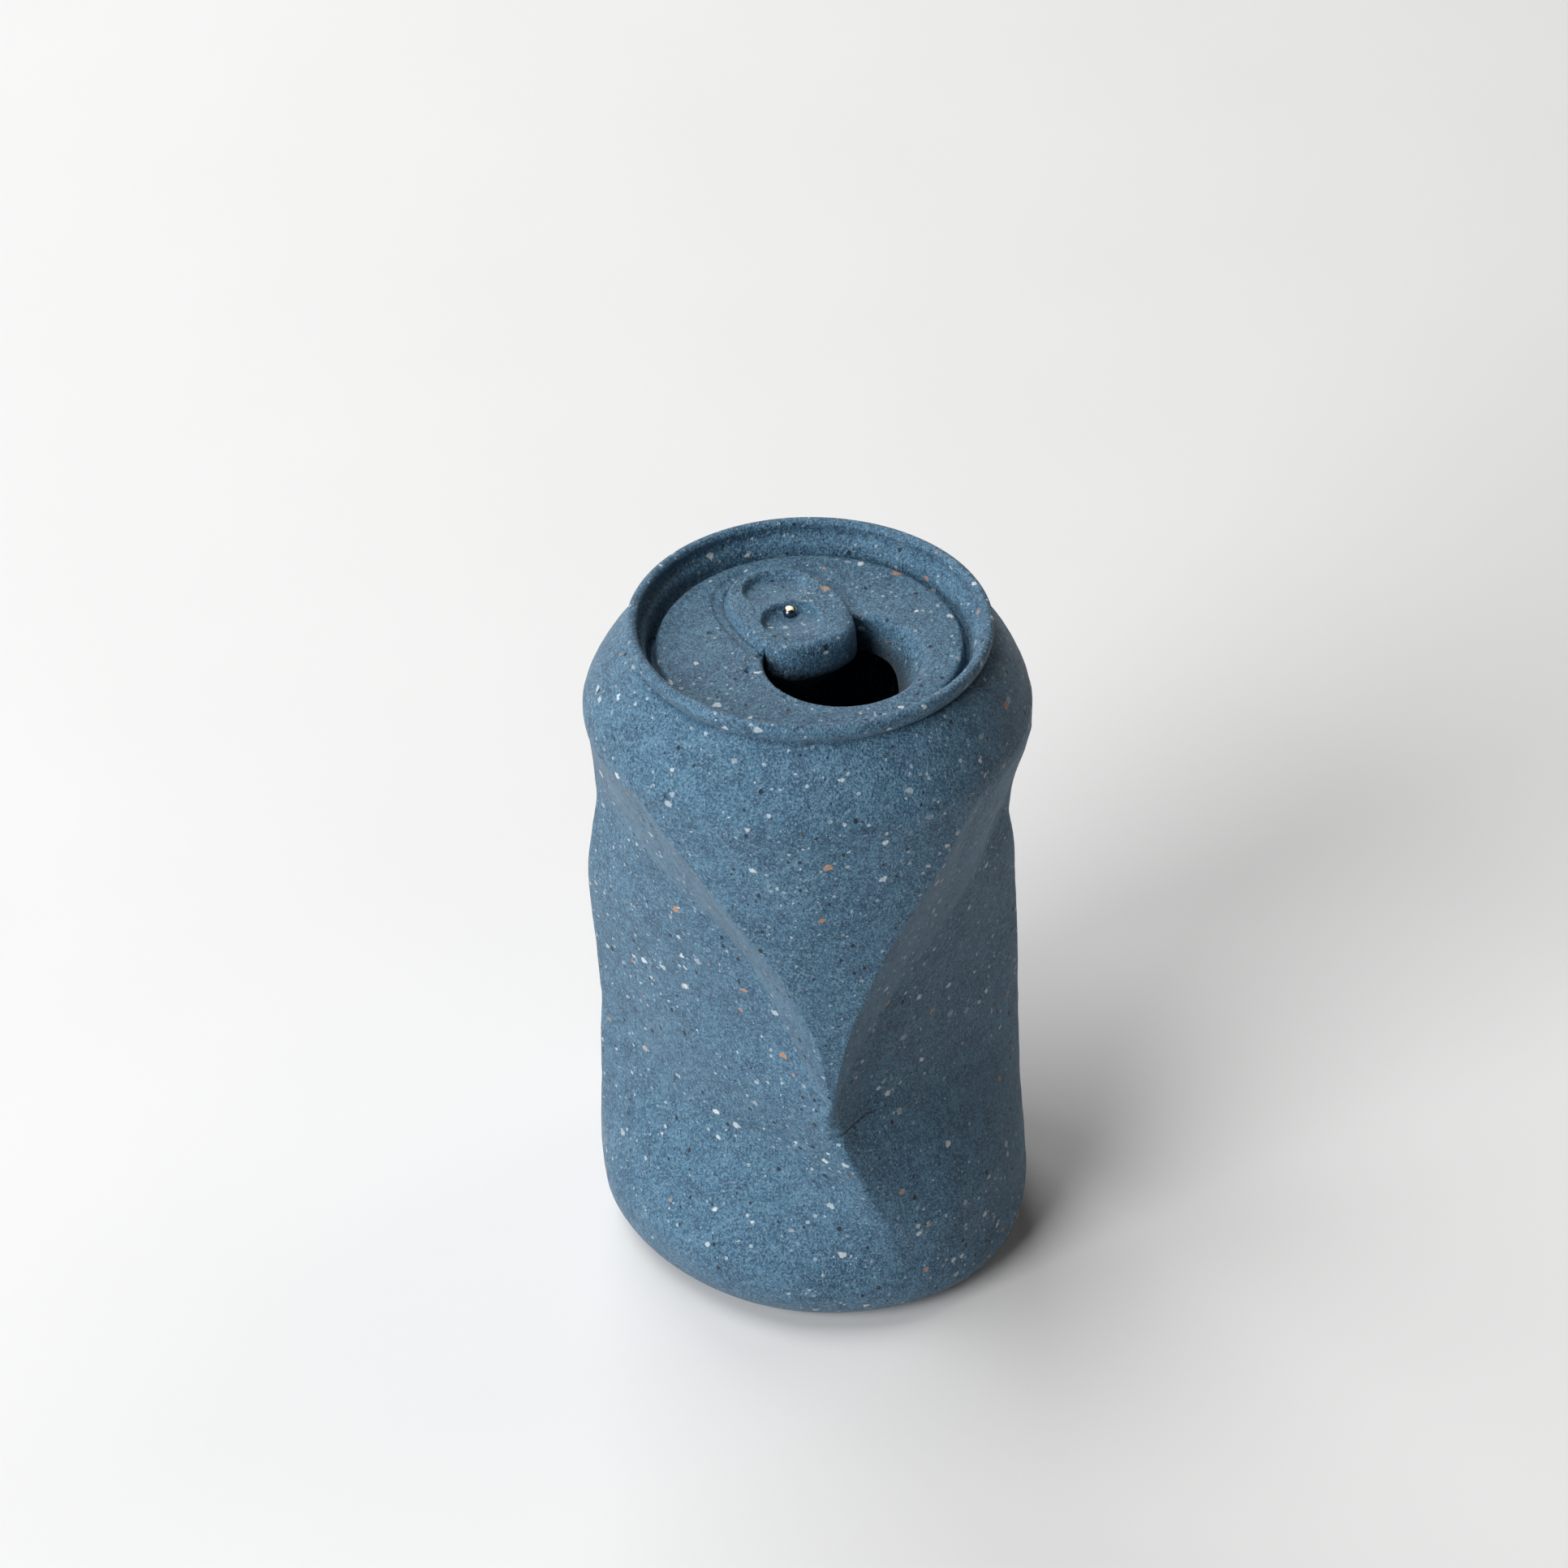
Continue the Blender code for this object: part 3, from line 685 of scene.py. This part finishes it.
def panel_height(x, y):
    """Height of the lid over its flat panel."""
    outside = outside_tab(x, y)
    from_mouth = np.hypot(x - MOUTH_CENTRE[0], y - MOUTH_CENTRE[1]) - MOUTH_RADIUS
    border = (SURROUND_MARGIN + edge for edge in SURROUND_EDGE)
    sunk = -SURROUND_DEPTH * (1.0 - smoothstep(outside, *border))
    furrow = (outside - TAB_FURROW_WIDTH / 2) / TAB_FURROW_WIDTH
    sunk = sunk - TAB_FURROW_DEPTH * np.exp(-furrow * furrow) * smoothstep(from_mouth, 0.0, FURROW_FADE)
    sunk = sunk - pits(x, y)
    dropped = rounded(np.maximum(from_mouth, 0.0), mouth_rounding(x, y))
    sunk = sunk - dropped * smoothstep(outside, 0.0, MOUTH_EDGE_AT_TAB)
    over_mouth = smoothstep(-from_mouth, -OVER_MOUTH_WIDTH, OVER_MOUTH_WIDTH)
    edge = TAB_ROUNDING + (NOSE_ROUNDING - TAB_ROUNDING) * over_mouth
    top = TAB_HEIGHT - rounded(np.maximum(-outside, 0.0), edge)
    top = top - recess(x, y, FINGER_RECESS) - recess(x, y, RIVET_RECESS)
    foot = sunk + (top - sunk) * (1 - smoothstep(outside, 0.0, TAB_FOOT_WIDTH))
    return np.where(outside < 0, np.maximum(top, sunk), foot)


def crescent():
    """The outline of the opening in two lines: the mouth's circle where the nose leaves it free, and the
    nose's own outline where it hangs over it."""
    turn = np.radians(np.arange(0.0, 360.0, OUTLINE_STEP))
    circle = np.column_stack(
        (MOUTH_CENTRE[0] + MOUTH_RADIUS * np.cos(turn), MOUTH_CENTRE[1] + MOUTH_RADIUS * np.sin(turn))
    )
    free = circle[outside_tab(circle[:, 0], circle[:, 1]) > 0]
    start = int(np.argmax(np.linalg.norm(free - np.roll(free, 1, axis=0), axis=1)))
    free = np.roll(free, -start, axis=0)
    along = np.radians(np.arange(90.0, 270.0, OUTLINE_STEP))
    u = -np.abs(np.cos(along)) ** (2 / NOSE_POWER) * TAB_NOSE
    v = np.sign(np.sin(along)) * np.abs(np.sin(along)) ** (2 / NOSE_POWER) * TAB_HALF_WIDTH
    nose = np.column_stack(from_tab(u, v))
    inside = np.hypot(nose[:, 0] - MOUTH_CENTRE[0], nose[:, 1] - MOUTH_CENTRE[1]) < MOUTH_RADIUS
    nose = nose[inside]
    if np.linalg.norm(nose[0] - free[-1]) > np.linalg.norm(nose[-1] - free[-1]):
        nose = nose[::-1]
    return spaced(free, LID_GRID), spaced(nose, LID_GRID)


def spaced(points, gap):
    """The same open line with its points evenly spaced."""
    steps = np.linalg.norm(np.diff(points, axis=0), axis=1)
    reached = np.concatenate(([0.0], np.cumsum(steps)))
    wanted = np.linspace(0.0, reached[-1], max(2, round(reached[-1] / gap)))
    return np.column_stack([np.interp(wanted, reached, points[:, i]) for i in range(2)])


def inside_polygon(x, y, outline):
    """Which of the points lie inside a closed outline."""
    inside = np.zeros(len(x), bool)
    for (x1, y1), (x2, y2) in zip(outline, np.roll(outline, -1, axis=0)):
        crosses = (y1 > y) != (y2 > y)
        at = x1 + (y - y1) * (x2 - x1) / (y2 - y1 if y2 != y1 else TINY)
        inside ^= crosses & (x < at)
    return inside


def hexagonal(radius, gap):
    """Points of a hexagonal grid inside a circle."""
    rows = np.arange(-radius, radius, gap * math.sqrt(3) / 2)
    made = []
    for i, y in enumerate(rows):
        xs = np.arange(-radius, radius, gap) + (gap / 2 if i % 2 else 0.0)
        made.append(np.column_stack((xs, np.full(len(xs), y))))
    points = np.vstack(made)
    return points[np.hypot(points[:, 0], points[:, 1]) < radius]


def clear_of(points, taken, gap):
    """The points at least this far from all the taken ones."""
    tree = kdtree.KDTree(len(taken))
    for i, (x, y) in enumerate(taken):
        tree.insert((x, y, 0.0), i)
    tree.balance()
    keep = [tree.find((x, y, 0.0))[2] > gap for x, y in points]
    return points[np.array(keep)]


def loop_edges(first, count):
    return [(first + i, first + (i + 1) % count) for i in range(count)]


def triangulated(ring, hole, gap):
    """Points and triangles of the flat area between a round ring and a hole. The ring comes first, then the
    hole, then the points between them."""
    fixed = np.vstack((ring, hole))
    radius = np.hypot(*ring[0])
    loose = clear_of(hexagonal(radius, gap), fixed, CLEAR_SHARE * gap)
    loose = loose[~inside_polygon(loose[:, 0], loose[:, 1], hole)]
    points = np.vstack((fixed, loose))
    edges = loop_edges(0, len(ring)) + loop_edges(len(ring), len(hole))
    made = delaunay_2d_cdt([Vector(point) for point in points], edges, [], 0, 1e-6)
    corners = np.array(made[0])
    order = np.array([origins[0] for origins in made[3]])
    faces = np.array(made[2])
    middles = corners[faces].mean(axis=1)
    faces = faces[~inside_polygon(middles[:, 0], middles[:, 1], hole)]
    return points, order[faces]


# ----------------------------------------------------------------------------------- putting together


class Shell:
    """Vertices and faces of one mesh, gathered piece by piece."""

    def __init__(self):
        self.points = []
        self.faces = []
        self.count = 0

    def add(self, points):
        """The numbers that the added points get."""
        self.points.append(np.asarray(points).reshape(-1, 3))
        first = self.count
        self.count += len(self.points[-1])
        return np.arange(first, self.count)

    def strip(self, upper, lower):
        """Quads between two closed rings of the same number of points."""
        for a, b, c, d in zip(upper, np.roll(upper, -1), np.roll(lower, -1), lower):
            self.faces.append((int(a), int(b), int(c), int(d)))

    def fan(self, ring, centre):
        middle = self.add([centre])[0]
        for a, b in zip(ring, np.roll(ring, -1)):
            self.faces.append((int(a), int(b), int(middle)))

    def mesh(self, name):
        made = bpy.data.meshes.new(name)
        made.from_pydata((np.vstack(self.points) * MM).tolist(), [], self.faces)
        work = bmesh.new()
        work.from_mesh(made)
        bmesh.ops.recalc_face_normals(work, faces=work.faces)
        work.to_mesh(made)
        work.free()
        made.shade_smooth()
        return made


def mouth_wall(free, nose):
    """Rings down the side of the opening. The circle's side slopes in from the right; the nose's side
    swells a little, then draws in under the tab and reaches further down."""
    outline = np.vstack((free, nose))
    top = panel_height(outline[:, 0], outline[:, 1])
    places = np.linspace(0.0, 1.0, len(nose))
    tips = smoothstep(np.minimum(places, 1.0 - places), 0.0, NOSE_END_SHARE)
    on_nose = np.concatenate((np.zeros(len(free)), tips))
    places = np.linspace(0.0, 1.0, len(free))
    slope = MOUTH_SLOPE * smoothstep(np.minimum(places, 1.0 - places), 0.0, MOUTH_SLOPE_END_SHARE)
    on_slope = np.concatenate((slope, np.zeros(len(nose))))
    leftmost = MOUTH_CENTRE[0] - MOUTH_RADIUS
    bottom = -LID_THICKNESS - (NOSE_BOTTOM - LID_THICKNESS) * on_nose
    u, v = to_tab(outline[:, 0], outline[:, 1])
    rings = []
    for share in np.linspace(0.0, 1.0, MOUTH_LEVELS):
        z = top + (bottom - top) * share
        swell = NOSE_SWELL * np.sin(np.clip(-z / NOSE_WALL, 0.0, 1.0) * math.pi / 2)
        taper = np.clip((-z - NOSE_WALL) / (NOSE_BOTTOM - NOSE_WALL), 0.0, 1.0)
        narrowed = (1.0 - NOSE_TIP_SCALE) * taper**NOSE_TAPER_POWER
        scale = 1.0 + on_nose * (swell * (1 - taper) - narrowed)
        x, y = from_tab(u * scale + NOSE_TIP_BACK * taper * on_nose, v * scale)
        x = x - (x - leftmost) * on_slope * share
        rings.append(np.column_stack((x, y, z + PANEL_Z)))
    return rings


def ceiling_height(x, y):
    """Height of the hollow's ceiling, with the back of the nose bulging down through it."""
    u, v = to_tab(x, y)
    half_size = NOSE_BACK["half_size"]
    across = np.maximum(np.abs(u - NOSE_BACK["u"]) - half_size, 0.0)
    along = np.maximum(np.abs(v) - half_size, 0.0)
    bulge = 1.0 - smoothstep(np.hypot(along, across), *NOSE_BACK["fade"])
    return HOLLOW_TOP_Z - (NOSE_BOTTOM - LID_THICKNESS) * bulge


def hollow_rows():
    """The turned section of the hollow, from the edge of its ceiling down to its floor."""
    straight = np.concatenate(
        (
            np.linspace(HOLLOW_WALL_TOP_Z, RIDGE_Z, HOLLOW_UPPER_ROWS + 1),
            np.linspace(RIDGE_Z, VALLEY_Z, HOLLOW_BEVEL_ROWS + 1)[1:],
            np.linspace(VALLEY_Z, HOLLOW_WALL_BOTTOM_Z, HOLLOW_LOWER_ROWS + 1)[1:],
        )
    )
    wall = np.column_stack((np.full(len(straight), HOLLOW_RADIUS), straight))
    return np.vstack((CEILING_EDGE, wall, HOLLOW_FOOT))


def casting():
    shell = Shell()
    grid = outer_grid()
    rows = [shell.add(ring) for ring in grid]
    for upper, lower in zip(rows, rows[1:]):
        shell.strip(upper, lower)
    shell.fan(rows[-1], (0.0, 0.0, 0.0))
    bottom, outline = add_lid_and_mouth(shell, rows[0], grid[0][:, :2])
    add_hollow(shell, bottom, outline)
    return shell


def add_lid_and_mouth(shell, ring, ring_places):
    """The lid inside the rim's inner ring, and the mouth's wall down to the hollow. Returns the numbers and
    the places of the wall's last ring."""
    free, nose = crescent()
    hole = np.vstack((free, nose))
    flat, faces = triangulated(ring_places, hole, LID_GRID)
    height = PANEL_Z + panel_height(flat[:, 0], flat[:, 1])
    inner = shell.add(np.column_stack((flat, height))[len(ring):])
    numbers = np.concatenate((ring, inner))
    shell.faces += [tuple(int(i) for i in numbers[face]) for face in faces]
    wall = mouth_wall(free, nose)
    levels = [inner[: len(hole)]] + [shell.add(level) for level in wall[1:]]
    for upper, lower in zip(levels, levels[1:]):
        shell.strip(upper, lower)
    return levels[-1], wall[-1][:, :2]


def add_hollow(shell, mouth_ring, mouth_places):
    """The hollow's ceiling round the mouth, its crushed wall and its floor."""
    angle = np.arange(HOLLOW_SECTORS) * 360.0 / HOLLOW_SECTORS
    distance = np.full(HOLLOW_SECTORS, CEILING_RADIUS)
    ring = round_grid(distance, angle, np.zeros(HOLLOW_SECTORS))[:, :2]
    flat, faces = triangulated(ring, mouth_places, CEILING_GRID)
    height = ceiling_height(flat[:, 0], flat[:, 1])
    height[: len(ring)] = HOLLOW_TOP_Z
    ceiling = np.column_stack((flat, height))
    rim = shell.add(ceiling[: len(ring)])
    inner = shell.add(ceiling[len(ring) + len(mouth_ring):])
    numbers = np.concatenate((rim, mouth_ring, inner))
    shell.faces += [tuple(int(i) for i in numbers[face]) for face in faces]

    section = hollow_rows()
    size = (1, HOLLOW_SECTORS)
    all_angles = np.tile(angle, (len(section), 1))
    radius, z = crushed(
        np.tile(section[:, :1], size), all_angles, np.tile(section[:, 1:], size), HOLLOW_CRUSH_SHARE
    )
    inside = [rim] + [shell.add(level) for level in round_grid(radius, all_angles, z)]
    for upper, lower in zip(inside, inside[1:]):
        shell.strip(upper, lower)
    shell.fan(inside[-1], (0.0, 0.0, FLOOR_THICKNESS))


def can():
    shell = casting()
    item = bpy.data.objects.new("cast_can", shell.mesh("cast_can"))
    bpy.context.scene.collection.objects.link(item)
    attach(item, "root")
    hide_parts("can_body")
    return item


def pin():
    """The pin's polished head and its shank, turned round the middle of its CAD node."""
    low, high = (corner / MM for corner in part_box("brass_pin"))
    centre = (low + high) / 2
    radius = (high.x - low.x) / 2
    seat = high.z - PIN_HEIGHT
    belly = seat + PIN_BELLY
    turn = np.radians(np.linspace(*PIN_HEAD_ANGLES, PIN_HEAD_ROWS))
    head = [(radius * math.cos(a), belly + PIN_BELLY_FLATNESS * radius * math.sin(a)) for a in turn]
    section = [(PIN_TOP_RADIUS, high.z), (head[0][0] - PIN_TOP_EDGE[0], high.z - PIN_TOP_EDGE[1])]
    section += [*head, *((SHANK_RADIUS, z) for z in (seat, seat - SHANK_SHOULDER, low.z))]
    shell = Shell()
    angle = np.arange(PIN_SECTORS) * 360.0 / PIN_SECTORS
    rows = []
    for distance, z in section:
        ring = round_grid(np.full(PIN_SECTORS, distance), angle, np.full(PIN_SECTORS, z))
        rows.append(shell.add(ring + (centre.x, centre.y, 0)))
    for upper, lower in zip(rows, rows[1:]):
        shell.strip(upper, lower)
    shell.fan(rows[0], (centre.x, centre.y, high.z))
    shell.fan(rows[-1], (centre.x, centre.y, low.z))
    mesh = shell.mesh("tab_pin")
    mesh.set_sharp_from_angle(angle=math.radians(PIN_SHARP_ANGLE))
    item = bpy.data.objects.new("tab_pin", mesh)
    bpy.context.scene.collection.objects.link(item)
    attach(item, "root")
    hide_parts("brass_pin")
    return item


# ---------------------------------------------------------------------------------------- materials


class Nodes:
    """A material's node tree, with short ways to add and link its nodes."""

    def __init__(self, name):
        self.material = bpy.data.materials.new(name)
        self.material.use_nodes = True
        self.tree = self.material.node_tree
        self.shader = self.tree.nodes["Principled BSDF"]
        coordinates = self.tree.nodes.new("ShaderNodeTexCoord")
        scaled = self.tree.nodes.new("ShaderNodeVectorMath")
        scaled.operation = "SCALE"
        scaled.inputs["Scale"].default_value = 1.0 / MM
        self.link(coordinates.outputs["Object"], scaled.inputs[0])
        self.place = scaled.outputs[0]

    def link(self, source, target):
        if hasattr(source, "links"):
            self.tree.links.new(source, target)
        else:
            target.default_value = source

    def noise(self, size, detail=2.0, roughness=0.5, place=None):
        """A noise whose features are about this many millimetres."""
        node = self.tree.nodes.new("ShaderNodeTexNoise")
        node.inputs["Scale"].default_value = 1.0 / size
        node.inputs["Detail"].default_value = detail
        node.inputs["Roughness"].default_value = roughness
        self.link(place or self.place, node.inputs["Vector"])
        return node.outputs

    def cells(self, size, place):
        """Cells of about this many millimetres, with the random colour of each and how far its middle is."""
        node = self.tree.nodes.new("ShaderNodeTexVoronoi")
        node.inputs["Scale"].default_value = 1.0 / size
        self.link(place, node.inputs["Vector"])
        return node.outputs

    def math(self, operation, *values):
        node = self.tree.nodes.new("ShaderNodeMath")
        node.operation = operation
        for value, socket in zip(values, node.inputs):
            self.link(value, socket)
        return node.outputs[0]

    def vector(self, operation, *values):
        node = self.tree.nodes.new("ShaderNodeVectorMath")
        node.operation = operation
        for value, socket in zip(values, node.inputs):
            self.link(value, socket)
        return node.outputs[0]

    def scaled_vector(self, value, scale):
        node = self.tree.nodes.new("ShaderNodeVectorMath")
        node.operation = "SCALE"
        self.link(value, node.inputs[0])
        node.inputs["Scale"].default_value = scale
        return node.outputs[0]

    def ramp(self, value, low, high, new_low=0.0, new_high=1.0, smooth=True):
        node = self.tree.nodes.new("ShaderNodeMapRange")
        node.interpolation_type = "SMOOTHSTEP" if smooth else "LINEAR"
        for item, socket in zip((value, low, high, new_low, new_high), node.inputs):
            self.link(item, socket)
        return node.outputs[0]

    def mix(self, share, first, second):
        node = self.tree.nodes.new("ShaderNodeMix")
        node.data_type = "RGBA"
        self.link(share, node.inputs[0])
        for colour, socket in ((first, node.inputs[6]), (second, node.inputs[7])):
            self.link((*colour, 1.0) if isinstance(colour, tuple) else colour, socket)
        return node.outputs[2]

    def split(self, colour):
        node = self.tree.nodes.new("ShaderNodeSeparateColor")
        self.link(colour, node.inputs[0])
        return node.outputs

    def apart(self, place):
        """The x, y and z of a place."""
        node = self.tree.nodes.new("ShaderNodeSeparateXYZ")
        self.link(place, node.inputs[0])
        return node.outputs

    def warped(self, size, amount, squash=1.0, shift=0.0):
        """The place, bent by a noise so that what is drawn on it gets a broken outline."""
        noise_colour = self.noise(size, 1.0)["Color"]
        bent = self.scaled_vector(self.vector("SUBTRACT", noise_colour, (0.5, 0.5, 0.5)), amount)
        moved = self.vector("ADD", self.place, bent)
        stretched = self.vector("MULTIPLY", moved, (1.0, 1.0, squash))
        return self.vector("ADD", stretched, (shift, shift * 1.7, shift * 2.3))

    def flecks(self, kind, crowd):
        """A mask of one kind of grain, and the random tone of each grain."""
        place = self.warped(*kind["broken"], kind["squash"], kind["shift"])
        share = self.math("MULTIPLY", crowd, kind["share"]) if kind["crowded"] else kind["share"]
        smallest, largest = (radius / kind["cell"] for radius in kind["radii"])
        cells = self.cells(kind["cell"], place)
        chance = self.split(cells["Color"])
        skewed = self.math("POWER", chance[1], SIZE_SKEW)
        radius = self.ramp(skewed, 0.0, 1.0, smallest, largest, smooth=False)
        inside = self.math("SUBTRACT", radius, cells["Distance"])
        mask = self.ramp(inside, -kind["blur"] * smallest, kind["blur"] * smallest)
        present = self.math("LESS_THAN", chance[0], share)
        return self.math("MULTIPLY", mask, present), chance[2]

    def scratch(self):
        """A mask of the thin line that runs to the right from the front point of the folds."""
        x, y, z = self.apart(self.warped(*SCRATCH_BROKEN))
        away = self.math("ABSOLUTE", self.math("SUBTRACT", z, SCRATCH_Z))
        line = self.ramp(away, *SCRATCH_HALF_WIDTHS, 1.0, 0.0)
        ends = self.math("MULTIPLY", self.ramp(x, *SCRATCH_START), self.ramp(x, *SCRATCH_END, 1.0, 0.0))
        return self.math("MULTIPLY", self.math("MULTIPLY", line, ends), self.math("LESS_THAN", y, 0.0))

    def painted_mouth_shade(self):
        """A mask of painted shade that grows with depth on the walls of the mouth, standing in for the
        shadow there.
        """
        x, y, z = self.apart(self.place)
        across = self.math("SUBTRACT", x, MOUTH_CENTRE[0])
        along = self.math("SUBTRACT", y, MOUTH_CENTRE[1])
        squares = (self.math("MULTIPLY", away, away) for away in (across, along))
        inside = self.math("LESS_THAN", self.math("ADD", *squares), (MOUTH_RADIUS + MOUTH_SHADE_MARGIN) ** 2)
        bottom, top = (PANEL_Z - depth for depth in MOUTH_SHADE_DEPTHS)
        return self.math("MULTIPLY", inside, self.ramp(z, bottom, top, 1.0, 0.0))

    def relief(self, height):
        """Bumps of this height in millimetres."""
        bump = self.tree.nodes.new("ShaderNodeBump")
        bump.inputs["Distance"].default_value = MM
        bump.inputs["Strength"].default_value = 1.0
        self.link(height, bump.inputs["Height"])
        self.link(bump.outputs["Normal"], self.shader.inputs["Normal"])


def speckled_composite():
    nodes = Nodes("speckled_composite")
    places = {"grit": nodes.warped(*GRIT_BROKEN)}
    noises = {name: nodes.noise(*shape, places.get(name))["Fac"] for name, shape in NOISES.items()}
    colour = nodes.mix(nodes.ramp(noises["broad"], *PASTE_LIMITS), *PASTE)
    for name, start, full, strength, tone_colour in TONES:
        colour = nodes.mix(nodes.ramp(noises[name], start, full, 0.0, strength), colour, tone_colour)
    crowd = nodes.ramp(noises["crowd"], *CROWD_LIMITS)
    masks = {}
    for name, kind in FLECKS.items():
        masks[name], tone = nodes.flecks(kind, crowd)
        strength = nodes.ramp(tone, 0.0, 1.0, *kind["strength"], smooth=False)
        shown = nodes.math("MULTIPLY", masks[name], strength)
        colour = nodes.mix(shown, colour, nodes.mix(tone, *kind["colours"]))
    scratch = nodes.scratch()
    colour = nodes.mix(nodes.math("MULTIPLY", scratch, SCRATCH_STRENGTH), colour, SCRATCH_COLOUR)
    # Painted shade: the mouth's walls are darkened with depth
    mouth_shade = nodes.math("MULTIPLY", nodes.painted_mouth_shade(), MOUTH_SHADE_STRENGTH)
    nodes.link(nodes.mix(mouth_shade, colour, MOUTH_SHADE_COLOUR), nodes.shader.inputs["Base Color"])

    relief = nodes.math("MULTIPLY", noises["wave"], WAVE_RELIEF)
    for noise_value, depth in ((noises["grain"], GRAIN_RELIEF), (noises["grit"], GRIT_RELIEF)):
        centred = nodes.math("SUBTRACT", noise_value, 0.5)
        relief = nodes.math("ADD", relief, nodes.math("MULTIPLY", centred, depth))
    for mask, depth in ((scratch, SCRATCH_RELIEF), (masks["pits"], PIT_RELIEF)):
        relief = nodes.math("SUBTRACT", relief, nodes.math("MULTIPLY", mask, depth))
    nodes.relief(relief)
    nodes.link(nodes.ramp(noises["grain"], *ROUGHNESS_LIMITS), nodes.shader.inputs["Roughness"])
    for socket, value in FINISH.items():
        nodes.shader.inputs[socket].default_value = value
    return nodes.material


def pin_brass(top):
    """Bright brass on the flat top, and down the sides a dark blue-grey that is a painted reflection of the
    blue lid around the pin.
    """
    nodes = Nodes("pin_brass")
    edge_noise = nodes.math("MULTIPLY", nodes.noise(*PIN_EDGE_NOISE)["Fac"], PIN_EDGE_NOISE_DEPTH)
    height = nodes.math("ADD", nodes.apart(nodes.place)["Z"], edge_noise)
    polished = nodes.ramp(height, top - BRASS_TOP_DEPTH, top)
    shade = nodes.noise(*PIN_SHADE)["Fac"]
    # Painted reflection: the sides take the dark blue-grey of the lid they reflect, and the top keeps the
    # brass
    colour = nodes.mix(polished, nodes.mix(shade, *PIN_SIDE_REFLECTION), nodes.mix(shade, *BRASS))
    nodes.link(colour, nodes.shader.inputs["Base Color"])
    nodes.link(nodes.ramp(shade, *PIN_ROUGHNESS_LIMITS), nodes.shader.inputs["Roughness"])
    nodes.shader.inputs["Metallic"].default_value = 1.0
    return nodes.material


def floor_material():
    nodes = Nodes("pale_floor")
    soft = nodes.noise(*FLOOR_UNEVENNESS)["Fac"]
    nodes.link(nodes.mix(soft, *FLOOR_TONES), nodes.shader.inputs["Base Color"])
    nodes.shader.inputs["Roughness"].default_value = FLOOR_ROUGHNESS
    nodes.shader.inputs["Specular IOR Level"].default_value = FLOOR_SPECULAR
    return nodes.material


# ------------------------------------------------------------------------------------------- studio


def floor():
    mesh = bpy.data.meshes.new("floor")
    half = FLOOR_HALF_SIZE
    corners = [(-half, -half, 0), (half, -half, 0), (half, half, 0), (-half, half, 0)]
    mesh.from_pydata(corners, [], [(0, 1, 2, 3)])
    item = bpy.data.objects.new("floor", mesh)
    bpy.context.scene.collection.objects.link(item)
    item.data.materials.append(floor_material())


def camera():
    data = bpy.data.cameras.new("camera")
    data.lens = CAMERA_LENS
    data.sensor_width = SENSOR_WIDTH
    data.clip_start = CLIP_START
    item = bpy.data.objects.new("camera", data)
    bpy.context.scene.collection.objects.link(item)
    look_down = Matrix.Rotation(math.radians(90.0 - CAMERA_TILT), 4, "X")
    roll = Matrix.Rotation(math.radians(CAMERA_ROLL), 4, "Z")
    item.matrix_world = Matrix.Translation(CAMERA_PLACE) @ look_down @ roll
    bpy.context.scene.camera = item


def area_light(name, azimuth, elevation, size, watts, colour):
    """A square soft light that shines at the can. Its azimuth is measured as round the can."""
    data = bpy.data.lights.new(name, "AREA")
    data.energy = watts
    data.size = size
    data.color = colour
    item = bpy.data.objects.new(name, data)
    bpy.context.scene.collection.objects.link(item)
    turn = math.radians(azimuth)
    rise = math.radians(elevation)
    away = Vector((math.sin(turn) * math.cos(rise), -math.cos(turn) * math.cos(rise), math.sin(rise)))
    aim = Vector((0.0, 0.0, HEIGHT * MM / 2))
    item.location = aim + away * LIGHT_DISTANCE
    item.rotation_euler = away.to_track_quat("Z", "Y").to_euler()


def studio():
    for name, light in LIGHTS.items():
        area_light(name, *light)
    world = bpy.data.worlds.new("studio")
    world.use_nodes = True
    background = world.node_tree.nodes["Background"]
    background.inputs["Strength"].default_value = 0.0
    bpy.context.scene.world = world
    bpy.context.scene.view_settings.view_transform = "Standard"
    bpy.context.scene.view_settings.look = "None"


camera()
studio()
floor()
body = can()
body.data.materials.append(speckled_composite())
tab_pin = pin()
tab_pin.data.materials.append(pin_brass(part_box("brass_pin")[1].z / MM))
